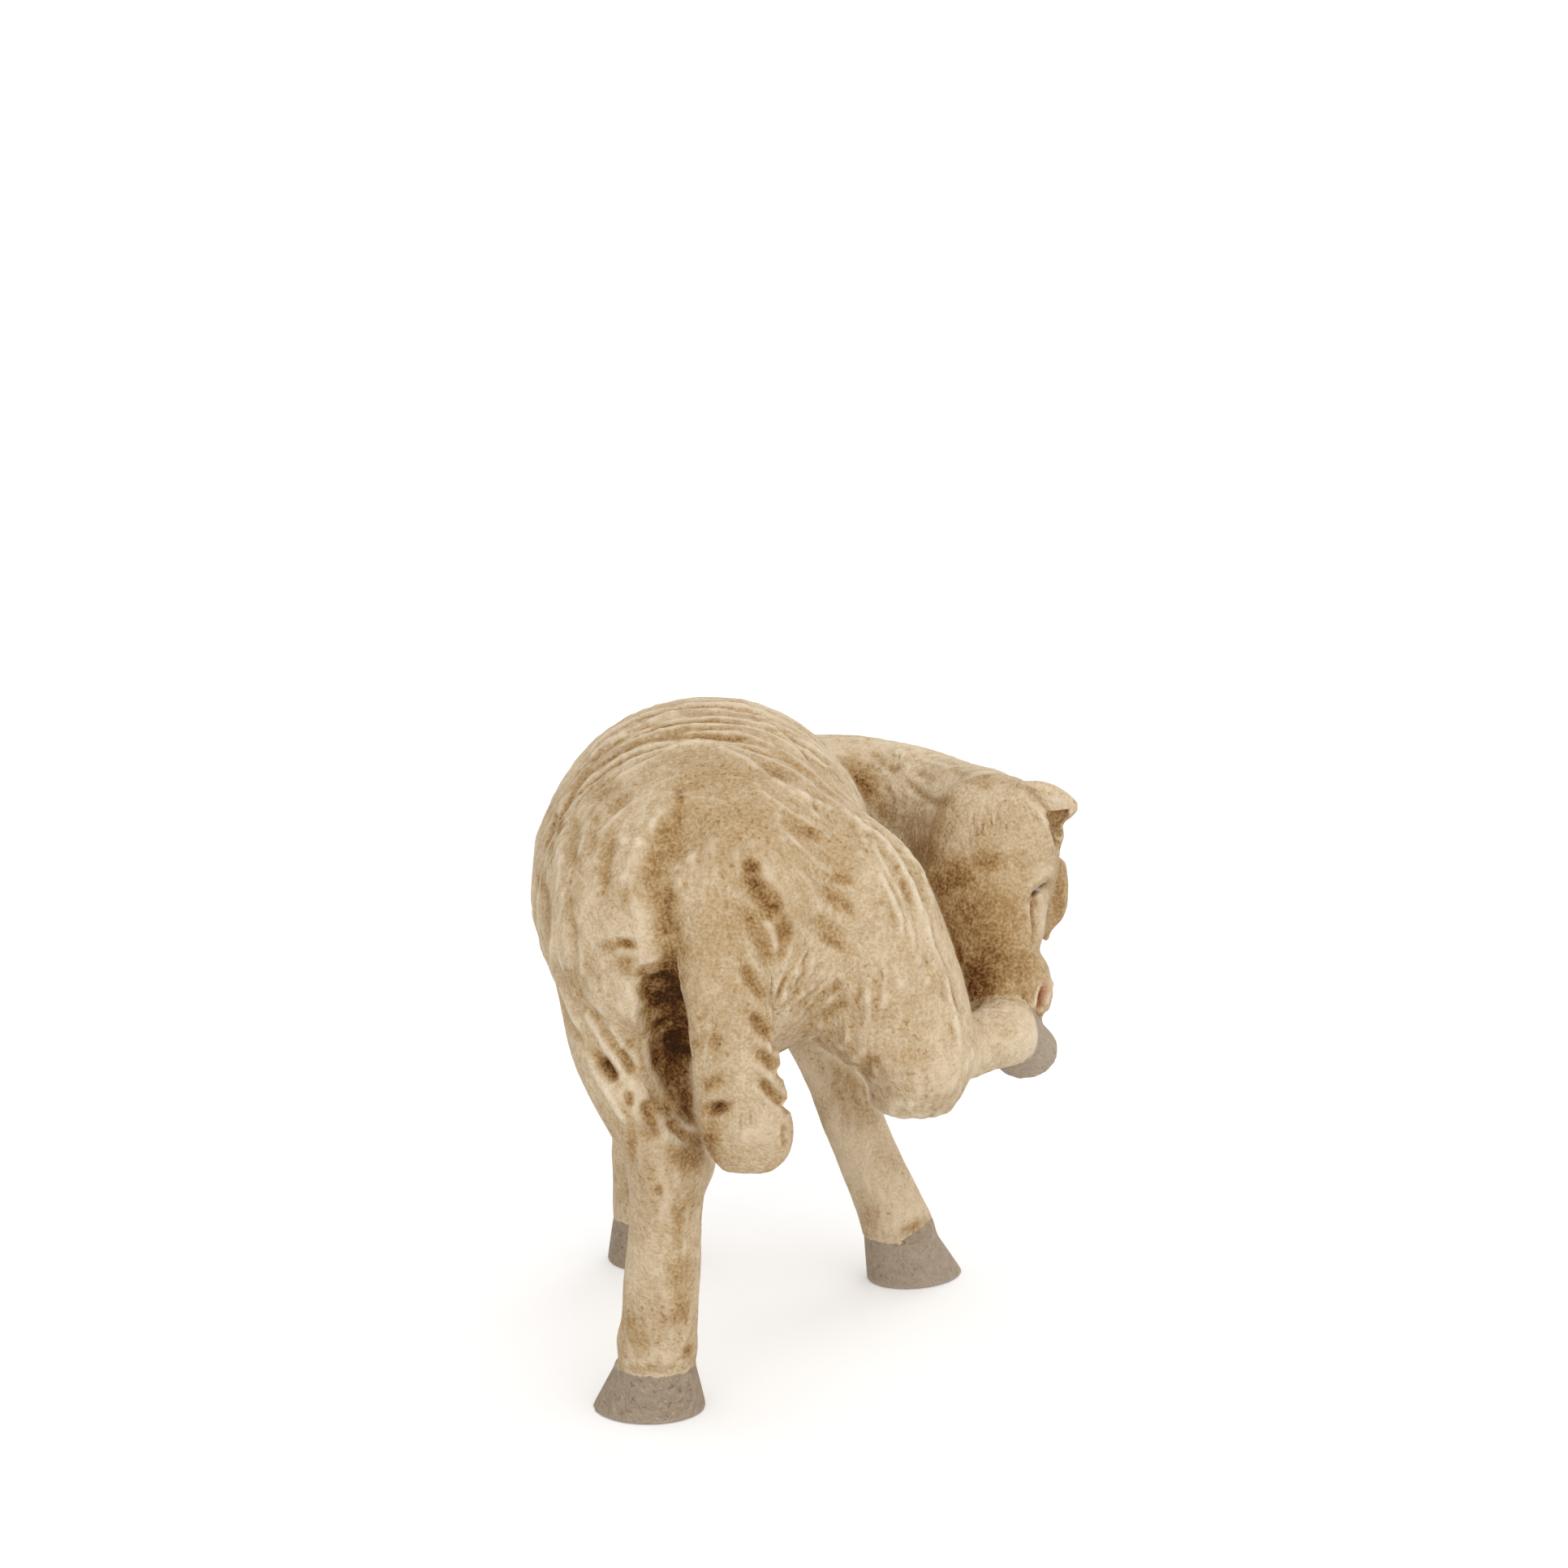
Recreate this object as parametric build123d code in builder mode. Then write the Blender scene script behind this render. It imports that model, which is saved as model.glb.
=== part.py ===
import os
from math import cos, pi, sin

from build123d import *

# Painted cast figurine of a sheep that stands on three legs and bends round to nibble
# its raised right hind leg. Millimetres. X runs to the sheep's right, Y forward, Z up.

# Torso
torso_length = 79.0
torso_width = 42.8
torso_depth = 43.0
back_height = 85.5
rump_overhang = 8.0  # rump behind the standing hind heel

# Fleece carved into the torso
fleece_groove_diameter = 6.0
fleece_groove_depth = 0.7
rump_valley_diameter = 6.0
rump_valley_depth = 1.0
flank_hollow_diameter = 6.4
flank_hollow_depth = 2.4

# Neck
neck_height = 25.0
neck_thickness = 20.0
neck_bulge = 9.0  # how far the bend swings out ahead of its two ends
neck_crest_drop = 24.7  # middle of the neck below the back

# Head
head_length = 33.0
head_depth = 18.0
head_width = 14.8
eye_length = 3.4
eye_height = 1.5
nostril_diameter = 2.0
mouth_width = 0.7
mouth_depth = 2.4

# Ears
left_ear_length = 14.0
right_ear_length = 10.6
ear_width = 7.0
ear_thickness = 3.4
ear_cup_depth = 1.6

# Tail
tail_length = 42.0
tail_width = 10.4
tail_thickness = 6.6
tail_setback = 12.5  # back of the tail behind the standing hind heel
tail_sway = 4.6  # tip of the tail to the right of the spine
tail_tip_drop = 50.1  # tip of the tail below the back
lock_notch_diameter = 1.8

# Legs
hoof_height = 6.4
hoof_cleft_width = 1.0
hoof_cleft_depth = 3.0
left_hind_top_drop = 22.5  # top of the leg below the back
left_hind_width = 8.8
left_fore_top_drop = 29.5
left_fore_width = 7.6
right_fore_top_drop = 33.5
right_fore_width = 8.6
left_hind_hoof_length = 14.0
left_hind_hoof_width = 14.2
left_fore_hoof_length = 12.6
left_fore_hoof_width = 11.0
right_fore_hoof_length = 14.4
right_fore_hoof_width = 11.6
right_fore_toe_out = 43.0  # degrees

# Raised leg
thigh_height = 29.0
thigh_width = 23.0
hock_drop = 41.0  # hock below the back
shank_length = 18.0
shank_diameter = 8.2
raised_hoof_length = 6.8
raised_hoof_width = 8.6
raised_hoof_thickness = 7.6

# Wires and pins
wire_diameter = 2.0
wire_clearance = 0.05
wire_inset = 3.0  # foot of each leg wire above the sole
pin_diameter = 2.5
pin_length = 14.0
wire_bend_radius = 8.0

# Places of the feet and the raised leg, as shares of the torso
left_hind_across_share = -0.163
left_hind_along_share = 0.190
left_fore_across_share = -0.208
left_fore_along_share = 0.924
right_fore_across_share = 0.643
right_fore_along_share = 0.835
hock_across_share = 0.610
hock_along_share = 0.172
thigh_across_share = 0.300
thigh_along_share = 0.253
shoulder_across_share = 0.100
shoulder_along_share = 0.790
hip_aim_along_share = 0.320
shank_pin_seat_share = 0.300
neck_pin_seat_share = 0.150
muzzle_forward_share = 0.300
nape_shares = (-0.020, 0.000, 0.270)
ear_cup_share = 0.760
right_eye_shares = (0.270, 0.265, 0.525)
left_eye_shares = (0.270, -0.265, 0.525)
eye_slant_share = 0.600
right_nostril_shares = (0.200, 0.220, 0.900)
left_nostril_shares = (0.200, -0.220, 0.900)
mouth_shares = (-0.090, 0.000, 1.000)
left_ear_root_shares = (0.167, -0.372, 0.180)
left_ear_tip_shares = (0.330, -0.676, 0.600)
right_ear_root_shares = (0.000, 0.340, 0.165)
right_ear_tip_shares = (0.575, 0.370, 0.200)

# Torso sections: along the torso, half width, then top, widest level and belly below the back
torso_section_shares = (
    (0.000, 0.117, 0.442, 0.558, 0.698),
    (0.018, 0.234, 0.302, 0.547, 0.837),
    (0.076, 0.367, 0.163, 0.535, 0.919),
    (0.203, 0.474, 0.042, 0.512, 0.977),
    (0.380, 0.502, 0.000, 0.500, 1.000),
    (0.608, 0.488, 0.047, 0.535, 1.012),
    (0.797, 0.421, 0.163, 0.581, 1.012),
    (0.924, 0.292, 0.314, 0.605, 0.919),
    (0.982, 0.175, 0.453, 0.605, 0.791),
    (1.000, 0.082, 0.535, 0.605, 0.698),
)

# Fleece grooves over the barrel: along at the top and at both ends, then turn at either end
fleece_groove_shares = (
    (0.245, 0.222, 0.220, 0.980),
    (0.330, 0.352, 0.250, 0.860),
    (0.435, 0.418, 0.300, 1.000),
    (0.540, 0.578, 0.270, 0.900),
    (0.650, 0.636, 0.340, 0.970),
)
groove_step_shares = (0.000, 0.170, 0.340, 0.500, 0.660, 0.830, 1.000)

# Lines of the grooves over the rump: across, along, below the back
left_valley_shares = (
    (-0.056, 0.101, 0.132),
    (-0.062, 0.061, 0.194),
    (-0.106, 0.045, 0.241),
    (-0.128, 0.026, 0.308),
    (-0.137, 0.015, 0.365),
    (-0.117, 0.004, 0.429),
    (-0.110, 0.000, 0.497),
    (-0.111, 0.000, 0.582),
)
right_valley_shares = (
    (0.092, 0.029, 0.280),
    (0.137, 0.019, 0.344),
    (0.182, 0.015, 0.411),
    (0.211, 0.015, 0.480),
)
flank_hollow_shares = (
    (-0.140, 0.003, 0.625),
    (-0.122, 0.004, 0.707),
    (-0.108, 0.018, 0.793),
    (-0.094, 0.045, 0.890),
    (-0.072, 0.066, 0.989),
)

# Leg sections from the hoof up: rise, across and forward of the foot, half width, half depth
left_hind_section_shares = (
    (0.000, 0.014, -0.029, 0.557, 0.602),
    (0.081, 0.020, -0.051, 0.557, 0.568),
    (0.205, 0.028, -0.073, 0.534, 0.511),
    (0.346, 0.036, -0.089, 0.511, 0.523),
    (0.470, 0.035, -0.099, 0.545, 0.614),
    (0.558, 0.019, -0.092, 0.670, 0.750),
    (0.647, -0.010, -0.064, 0.790, 0.932),
    (0.770, -0.040, -0.008, 0.890, 1.159),
    (0.894, -0.056, 0.040, 0.920, 1.250),
    (1.000, -0.054, 0.063, 0.682, 0.966),
)
left_fore_section_shares = (
    (0.000, -0.011, -0.013, 0.526, 0.605),
    (0.093, -0.012, -0.025, 0.526, 0.566),
    (0.274, -0.014, -0.039, 0.513, 0.526),
    (0.476, -0.014, -0.057, 0.539, 0.592),
    (0.637, -0.014, -0.079, 0.684, 0.816),
    (0.798, -0.012, -0.111, 0.842, 1.079),
    (1.000, -0.002, -0.161, 0.724, 0.921),
)
right_fore_section_shares = (
    (0.000, -0.040, -0.031, 0.580, 0.560),
    (0.145, -0.086, -0.035, 0.545, 0.535),
    (0.287, -0.140, -0.033, 0.512, 0.523),
    (0.452, -0.196, -0.027, 0.523, 0.558),
    (0.605, -0.248, -0.023, 0.593, 0.674),
    (0.759, -0.298, -0.019, 0.733, 0.860),
    (1.000, -0.375, -0.038, 0.721, 0.884),
)

# Thigh sections from the hock up: rise, swing from the hock to the hip, half width, half depth
thigh_section_shares = (
    (-0.200, 0.000, 0.130, 0.130),
    (-0.105, 0.000, 0.255, 0.260),
    (0.000, 0.040, 0.325, 0.330),
    (0.130, 0.260, 0.460, 0.390),
    (0.350, 0.440, 0.500, 0.440),
    (0.600, 0.660, 0.520, 0.500),
    (0.800, 0.880, 0.530, 0.540),
    (0.930, 0.970, 0.450, 0.500),
    (1.030, 1.000, 0.310, 0.360),
    (1.080, 1.000, 0.150, 0.200),
)

# Shank sections from the hock to the fetlock: along, half width
shank_section_shares = (
    (-0.200, 0.480),
    (0.100, 0.510),
    (0.400, 0.480),
    (0.750, 0.490),
    (0.950, 0.520),
    (1.050, 0.430),
)

# Raised hoof sections from the fetlock to the sole: along, half width, half thickness
raised_hoof_section_shares = (
    (-0.150, 0.380, 0.400),
    (0.250, 0.420, 0.450),
    (1.000, 0.500, 0.500),
)

# Neck sections from the shoulder to the poll: way across, way back, bulge, rise, height, thickness
neck_section_shares = (
    (0.000, 0.000, 0.000, 0.000, 1.080, 1.360),
    (0.280, 0.000, 0.860, 0.000, 1.020, 1.200),
    (0.620, 0.060, 1.000, 0.000, 0.960, 0.960),
    (0.860, 0.420, 0.800, 0.000, 0.920, 0.900),
    (0.970, 0.760, 0.420, 0.300, 0.880, 0.860),
    (1.000, 1.000, 0.000, 0.900, 0.760, 0.760),
)

# Head sections from the poll to the nose: along, brow offset, half depth, half width
head_section_shares = (
    (0.000, 0.000, 0.200, 0.220),
    (0.060, -0.030, 0.330, 0.370),
    (0.150, -0.015, 0.430, 0.455),
    (0.270, 0.000, 0.500, 0.500),
    (0.450, -0.075, 0.475, 0.460),
    (0.630, -0.115, 0.405, 0.365),
    (0.810, -0.050, 0.350, 0.310),
    (0.935, 0.015, 0.250, 0.280),
    (1.000, 0.000, 0.150, 0.170),
)

# Ear sections from root to tip: along, half width, half thickness
ear_section_shares = (
    (0.000, 0.300, 0.500),
    (0.300, 0.470, 0.500),
    (0.550, 0.500, 0.480),
    (0.800, 0.360, 0.420),
    (1.000, 0.080, 0.200),
)

# Tail sections from the root down: along, sway, setback, half width, half thickness
tail_section_shares = (
    (0.000, 0.150, -0.400, 0.260, 0.480),
    (0.200, 0.330, 0.370, 0.400, 0.560),
    (0.400, 0.560, 0.680, 0.480, 0.540),
    (0.580, 0.780, 0.770, 0.500, 0.490),
    (0.780, 1.040, 0.755, 0.530, 0.450),
    (0.920, 1.190, 0.690, 0.500, 0.420),
    (1.000, 1.190, 0.655, 0.280, 0.270),
)

# Notches between the locks down the tail's right edge: along, sway, half width
lock_notch_shares = (
    (0.615, 0.830, 0.508),
    (0.700, 0.940, 0.520),
    (0.800, 1.060, 0.530),
)

# Directions
nose_direction_shares = (0.053, -0.550, -0.833)
brow_direction_shares = (1.000, -0.050, 0.080)
shank_direction_shares = (0.678, 0.733, 0.045)
raised_hoof_direction_shares = (0.300, 0.720, -0.620)

rump_y = -rump_overhang
neck_middle_height = back_height - neck_crest_drop
left_hind_height = back_height - left_hind_top_drop
left_fore_height = back_height - left_fore_top_drop
right_fore_height = back_height - right_fore_top_drop
hock_height = back_height - hock_drop
tail_tip_height = back_height - tail_tip_drop


def torso_point(across_share, along_share, height):
    return Vector(across_share * torso_width, rump_y + along_share * torso_length, height)


def torso_row(along):
    for first, second in zip(torso_section_shares, torso_section_shares[1:]):
        if along <= second[0]:
            part = (along - first[0]) / (second[0] - first[0])
            return [a + part * (b - a) for a, b in zip(first, second)]


def leg_centre(foot, top, row):
    rise, across, forward = row[:3]
    height = hoof_height + rise * (top - hoof_height)
    return Vector(foot.X + across * top, foot.Y + forward * top, height)


def limb(foot, top, width, section_shares):
    with BuildPart() as form:
        for row in section_shares:
            centre = leg_centre(foot, top, row)
            with BuildSketch(Plane(origin=centre)):
                Ellipse(row[3] * width, row[4] * width)
        loft()
    return form.part


def rod(start, end, diameter):
    with BuildPart() as form:
        with BuildSketch(Plane(origin=start, z_dir=end - start)):
            Circle(diameter / 2)
        extrude(amount=(end - start).length)
    return form.part


def bent_rod(start, corner, end, diameter):
    with BuildPart() as form:
        with BuildLine() as path:
            FilletPolyline(start, corner, end, radius=wire_bend_radius)
        with BuildSketch(Plane(origin=start, z_dir=corner - start)):
            Circle(diameter / 2)
        sweep(path=path.line)
    return form.part


def standing_hoof(foot, length, width, toe_out, leg_top, leg_width, first_row):
    across = Vector(1, 0, 0).rotate(Axis.Z, -toe_out)
    sole = Plane(origin=foot, x_dir=across, z_dir=(0, 0, 1))
    coronet = Plane(origin=leg_centre(foot, leg_top, first_row), x_dir=across, z_dir=(0, 0, 1))
    with BuildPart() as form:
        with BuildSketch(sole):
            Ellipse(width / 2, length / 2)
        with BuildSketch(coronet):
            Ellipse(first_row[3] * leg_width, first_row[4] * leg_width)
        loft()
        with BuildSketch(sole):
            with Locations((0, length / 2)):
                Rectangle(hoof_cleft_width, 2 * hoof_cleft_depth)
        extrude(amount=hoof_height, mode=Mode.SUBTRACT)
    return form.part


# Torso form
with BuildPart() as torso_form:
    for along, half_width, top_drop, widest_drop, belly_drop in torso_section_shares:
        rise = (widest_drop - top_drop) * torso_depth
        sag = (belly_drop - widest_drop) * torso_depth
        station = (0, rump_y + along * torso_length, back_height - widest_drop * torso_depth)
        with BuildSketch(Plane(origin=station, x_dir=(1, 0, 0), z_dir=(0, -1, 0))):
            with BuildLine():
                EllipticalCenterArc((0, 0), half_width * torso_width, rise, arc_size=180)
                EllipticalCenterArc((0, 0), half_width * torso_width, sag, 180, arc_size=180)
            make_face()
    loft()



# Grooves that are cut out of the fleece and run out at both ends
def groove(points, diameter):
    with BuildPart() as form:
        with BuildLine() as path:
            Spline(points)
        with BuildSketch(Plane(origin=path.line @ 0, z_dir=path.line % 0)):
            Circle(diameter / 2)
        sweep(path=path.line)
    return form.part


def fleece_groove(top_along, end_along, begin, finish):
    points = []
    for step in groove_step_shares:
        lean = (2 * step - 1) ** 2
        along, half_width, top_drop, widest_drop, belly_drop = torso_row(top_along + lean * (end_along - top_along))
        lift = fleece_groove_diameter / 2 - fleece_groove_depth * (1 - lean)
        turn = pi * (begin + step * (finish - begin))
        out = (half_width * torso_width + lift) * cos(turn)
        rise = ((widest_drop - top_drop) * torso_depth + lift) * sin(turn)
        points.append(torso_point(0, along, back_height - widest_drop * torso_depth) + Vector(out, 0, rise))
    return groove(points, fleece_groove_diameter)


def rump_groove(line_shares, diameter, depth):
    points = [torso_point(across, along, back_height - drop * torso_depth)
              + Vector(0, depth - diameter / 2, 0) for across, along, drop in line_shares]
    points[0] -= Vector(0, depth, 0)
    points[-1] -= Vector(0, depth, 0)
    return groove(points, diameter)


flank_hollow = rump_groove(flank_hollow_shares, flank_hollow_diameter, flank_hollow_depth)

# Standing feet and the wires that run up through each leg into the torso
left_hind_foot = torso_point(left_hind_across_share, left_hind_along_share, 0)
left_fore_foot = torso_point(left_fore_across_share, left_fore_along_share, 0)
right_fore_foot = torso_point(right_fore_across_share, right_fore_along_share, 0)

left_hind_ankle = leg_centre(left_hind_foot, left_hind_height, left_hind_section_shares[0])
left_hind_hock = leg_centre(left_hind_foot, left_hind_height, left_hind_section_shares[5])
left_hind_end = leg_centre(left_hind_foot, left_hind_height, left_hind_section_shares[8])
left_fore_ankle = leg_centre(left_fore_foot, left_fore_height, left_fore_section_shares[0])
left_fore_end = leg_centre(left_fore_foot, left_fore_height, left_fore_section_shares[-1])
right_fore_ankle = leg_centre(right_fore_foot, right_fore_height, right_fore_section_shares[0])
right_fore_end = leg_centre(right_fore_foot, right_fore_height, right_fore_section_shares[-1])
wire_sink = Vector(0, 0, wire_inset - hoof_height)
hole_diameter = wire_diameter + 2 * wire_clearance
pin_hole_diameter = pin_diameter + 2 * wire_clearance

left_hind_run = (left_hind_ankle + wire_sink, left_hind_hock, left_hind_end)
left_fore_run = (left_fore_ankle + wire_sink, left_fore_end)
right_fore_run = (right_fore_ankle + wire_sink, right_fore_end)

with BuildPart() as left_hind_wire:
    add(bent_rod(*left_hind_run, wire_diameter))
with BuildPart() as left_fore_wire:
    add(rod(*left_fore_run, wire_diameter))
with BuildPart() as right_fore_wire:
    add(rod(*right_fore_run, wire_diameter))

left_hind_hole = bent_rod(*left_hind_run, hole_diameter)
left_fore_hole = rod(*left_fore_run, hole_diameter)
right_fore_hole = rod(*right_fore_run, hole_diameter)

# Standing legs, each cut to seat on the torso
with BuildPart() as left_hind_leg:
    add(limb(left_hind_foot, left_hind_height, left_hind_width, left_hind_section_shares))
    add(torso_form.part, mode=Mode.SUBTRACT)
    add(flank_hollow, mode=Mode.SUBTRACT)
    add(left_hind_hole, mode=Mode.SUBTRACT)

with BuildPart() as left_fore_leg:
    add(limb(left_fore_foot, left_fore_height, left_fore_width, left_fore_section_shares))
    add(torso_form.part, mode=Mode.SUBTRACT)
    add(left_fore_hole, mode=Mode.SUBTRACT)

right_fore_limb = limb(
    right_fore_foot, right_fore_height, right_fore_width, right_fore_section_shares
)
with BuildPart() as right_fore_leg:
    add(right_fore_limb)
    add(torso_form.part, mode=Mode.SUBTRACT)
    add(right_fore_hole, mode=Mode.SUBTRACT)

with BuildPart() as left_hind_hoof:
    add(standing_hoof(left_hind_foot, left_hind_hoof_length, left_hind_hoof_width, 0,
                      left_hind_height, left_hind_width, left_hind_section_shares[0]))
    add(left_hind_hole, mode=Mode.SUBTRACT)

with BuildPart() as left_fore_hoof:
    add(standing_hoof(left_fore_foot, left_fore_hoof_length, left_fore_hoof_width, 0,
                      left_fore_height, left_fore_width, left_fore_section_shares[0]))
    add(left_fore_hole, mode=Mode.SUBTRACT)

with BuildPart() as right_fore_hoof:
    add(standing_hoof(right_fore_foot, right_fore_hoof_length, right_fore_hoof_width,
                      right_fore_toe_out, right_fore_height, right_fore_width,
                      right_fore_section_shares[0]))
    add(right_fore_hole, mode=Mode.SUBTRACT)

# Raised leg
hock = torso_point(hock_across_share, hock_along_share, hock_height)
hip = torso_point(thigh_across_share, thigh_along_share, hock_height + thigh_height)
shank_direction = Vector(*shank_direction_shares).normalized()
fetlock = hock + shank_direction * shank_length
hoof_direction = Vector(*raised_hoof_direction_shares).normalized()

thigh_middle = hock + (hip - hock) * thigh_section_shares[4][1]
torso_middle = torso_point(0, hip_aim_along_share, back_height - torso_depth / 2)
thigh_pin_start = thigh_middle
thigh_pin_end = thigh_middle + (torso_middle - thigh_middle).normalized() * pin_length
shank_pin_start = hock - shank_direction * pin_length * shank_pin_seat_share
shank_pin_end = shank_pin_start + shank_direction * pin_length

with BuildPart() as thigh_pin:
    add(rod(thigh_pin_start, thigh_pin_end, pin_diameter))
with BuildPart() as shank_pin:
    add(rod(shank_pin_start, shank_pin_end, pin_diameter))
thigh_hole = rod(thigh_pin_start, thigh_pin_end, pin_hole_diameter)
shank_hole = rod(shank_pin_start, shank_pin_end, pin_hole_diameter)

with BuildPart() as thigh_form:
    for rise, swing, half_width, half_depth in thigh_section_shares:
        spot = hock + (hip - hock) * swing
        with BuildSketch(Plane(origin=(spot.X, spot.Y, hock_height + rise * thigh_height))):
            Ellipse(half_width * thigh_width, half_depth * thigh_width)
    loft()

with BuildPart() as shank_form:
    for along, half_width in shank_section_shares:
        with BuildSketch(Plane(origin=hock + shank_direction * along * shank_length,
                               x_dir=(0, 0, 1), z_dir=shank_direction)):
            Circle(half_width * shank_diameter)
    loft()

with BuildPart() as raised_hoof_form:
    for along, half_width, half_thickness in raised_hoof_section_shares:
        with BuildSketch(Plane(origin=fetlock + hoof_direction * along * raised_hoof_length,
                               x_dir=hoof_direction.cross(Vector(0, 0, 1)), z_dir=hoof_direction)):
            Ellipse(half_width * raised_hoof_width, half_thickness * raised_hoof_thickness)
    loft()

with BuildPart() as right_hind_thigh:
    add(thigh_form.part)
    add(torso_form.part, mode=Mode.SUBTRACT)
    add(thigh_hole, mode=Mode.SUBTRACT)
    add(shank_hole, mode=Mode.SUBTRACT)

with BuildPart() as right_hind_shank:
    add(shank_form.part)
    add(thigh_form.part, mode=Mode.SUBTRACT)
    add(shank_hole, mode=Mode.SUBTRACT)

with BuildPart() as right_hind_hoof:
    add(raised_hoof_form.part)
    add(shank_form.part, mode=Mode.SUBTRACT)
    with BuildSketch(Plane(origin=fetlock + hoof_direction * raised_hoof_length,
                           x_dir=hoof_direction.cross(Vector(0, 0, 1)), z_dir=-hoof_direction)):
        with Locations((0, raised_hoof_thickness / 2)):
            Rectangle(hoof_cleft_width, 2 * hoof_cleft_depth)
    extrude(amount=raised_hoof_length / 2, mode=Mode.SUBTRACT)

# Head, hung from the poll so that the muzzle meets the raised shank
nose_direction = Vector(*nose_direction_shares).normalized()
brow_guide = Vector(*brow_direction_shares)
brow_direction = (brow_guide - nose_direction * brow_guide.dot(nose_direction)).normalized()
nose_tip = fetlock + Vector(0, muzzle_forward_share * shank_diameter, 0)
poll = nose_tip - nose_direction * head_length
head_plane = Plane(origin=poll, x_dir=brow_direction, z_dir=nose_direction)
side_direction = head_plane.y_dir
eye_slant = brow_direction + nose_direction * eye_slant_share


def head_point(brow_share, side_share, along_share):
    return (poll + brow_direction * brow_share * head_depth
            + side_direction * side_share * head_width
            + nose_direction * along_share * head_length)


with BuildPart() as head_form:
    for along, brow_offset, half_depth, half_width in head_section_shares:
        with BuildSketch(head_plane.offset(along * head_length)):
            with Locations((brow_offset * head_depth, 0)):
                Ellipse(half_depth * head_depth, half_width * head_width)
    loft()

# Neck, swung from the shoulder round to the poll
shoulder = torso_point(shoulder_across_share, shoulder_along_share, neck_middle_height)
nape = head_point(*nape_shares)
neck_points = [
    Vector(shoulder.X + across * (nape.X - shoulder.X),
           shoulder.Y + back * (nape.Y - shoulder.Y) + bulge * neck_bulge,
           shoulder.Z + rise * (nape.Z - shoulder.Z))
    for across, back, bulge, rise, height, thickness in neck_section_shares
]
with BuildPart() as neck_form:
    for index, row in enumerate(neck_section_shares):
        ahead = neck_points[min(index + 1, len(neck_points) - 1)]
        behind = neck_points[max(index - 1, 0)]
        along = Vector(ahead.X - behind.X, ahead.Y - behind.Y, 0)
        with BuildSketch(Plane(origin=neck_points[index], x_dir=(0, 0, 1), z_dir=along)):
            Ellipse(row[4] * neck_height / 2, row[5] * neck_thickness / 2)
    loft()

neck_aim = (neck_points[1] - neck_points[0]).normalized()
neck_pin_start = neck_points[0] + neck_aim * pin_length * neck_pin_seat_share
neck_pin_end = neck_pin_start + neck_aim * pin_length
head_pin_start = neck_points[-2]
head_pin_end = neck_points[-1]
with BuildPart() as neck_pin:
    add(rod(neck_pin_start, neck_pin_end, pin_diameter))
with BuildPart() as head_pin:
    add(rod(head_pin_start, head_pin_end, pin_diameter))
neck_hole = rod(neck_pin_start, neck_pin_end, pin_hole_diameter)
head_hole = rod(head_pin_start, head_pin_end, pin_hole_diameter)

with BuildPart() as neck:
    add(neck_form.part)
    add(torso_form.part, mode=Mode.SUBTRACT)
    add(right_fore_limb, mode=Mode.SUBTRACT)
    add(head_form.part, mode=Mode.SUBTRACT)
    add(neck_hole, mode=Mode.SUBTRACT)
    add(head_hole, mode=Mode.SUBTRACT)

with BuildPart() as head:
    add(head_form.part)
    with BuildSketch(Plane(origin=head_point(*right_eye_shares), x_dir=eye_slant, z_dir=side_direction)):
        Ellipse(eye_length / 2, eye_height / 2)
    extrude(amount=head_width, mode=Mode.SUBTRACT)
    with BuildSketch(Plane(origin=head_point(*left_eye_shares), x_dir=eye_slant, z_dir=-side_direction)):
        Ellipse(eye_length / 2, eye_height / 2)
    extrude(amount=head_width, mode=Mode.SUBTRACT)
    with Locations(head_point(*right_nostril_shares), head_point(*left_nostril_shares)):
        Sphere(nostril_diameter / 2, mode=Mode.SUBTRACT)
    with BuildSketch(Plane(origin=head_point(*mouth_shares), x_dir=side_direction,
                           z_dir=brow_direction)):
        Rectangle(head_width, 2 * mouth_depth)
    extrude(amount=mouth_width, mode=Mode.SUBTRACT)
    add(torso_form.part, mode=Mode.SUBTRACT)
    add(thigh_form.part, mode=Mode.SUBTRACT)
    add(shank_form.part, mode=Mode.SUBTRACT)
    add(raised_hoof_form.part, mode=Mode.SUBTRACT)
    add(head_hole, mode=Mode.SUBTRACT)


# Ears
def ear(root, tip, length, facing):
    aim = (tip - root).normalized()
    across = aim.cross(facing).normalized()
    with BuildPart() as form:
        for along, half_width, half_thickness in ear_section_shares:
            with BuildSketch(Plane(origin=root + aim * along * length, x_dir=across, z_dir=aim)):
                Ellipse(half_width * ear_width, half_thickness * ear_thickness)
        loft()
        hollow = aim.cross(across).normalized() * -ear_cup_depth
        for along, half_width, half_thickness in ear_section_shares[1:-1]:
            centre = root + aim * along * length - hollow
            with BuildSketch(Plane(origin=centre, x_dir=across, z_dir=aim)):
                Ellipse(half_width * ear_width * ear_cup_share, half_thickness * ear_thickness)
        loft(mode=Mode.SUBTRACT)
    return form.part


with BuildPart() as left_ear:
    add(ear(head_point(*left_ear_root_shares), head_point(*left_ear_tip_shares),
            left_ear_length, side_direction))
    add(head_form.part, mode=Mode.SUBTRACT)
    add(neck_form.part, mode=Mode.SUBTRACT)

with BuildPart() as right_ear:
    add(ear(head_point(*right_ear_root_shares), head_point(*right_ear_tip_shares),
            right_ear_length, nose_direction + side_direction))
    add(head.part, mode=Mode.SUBTRACT)
    add(neck_form.part, mode=Mode.SUBTRACT)

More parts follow.
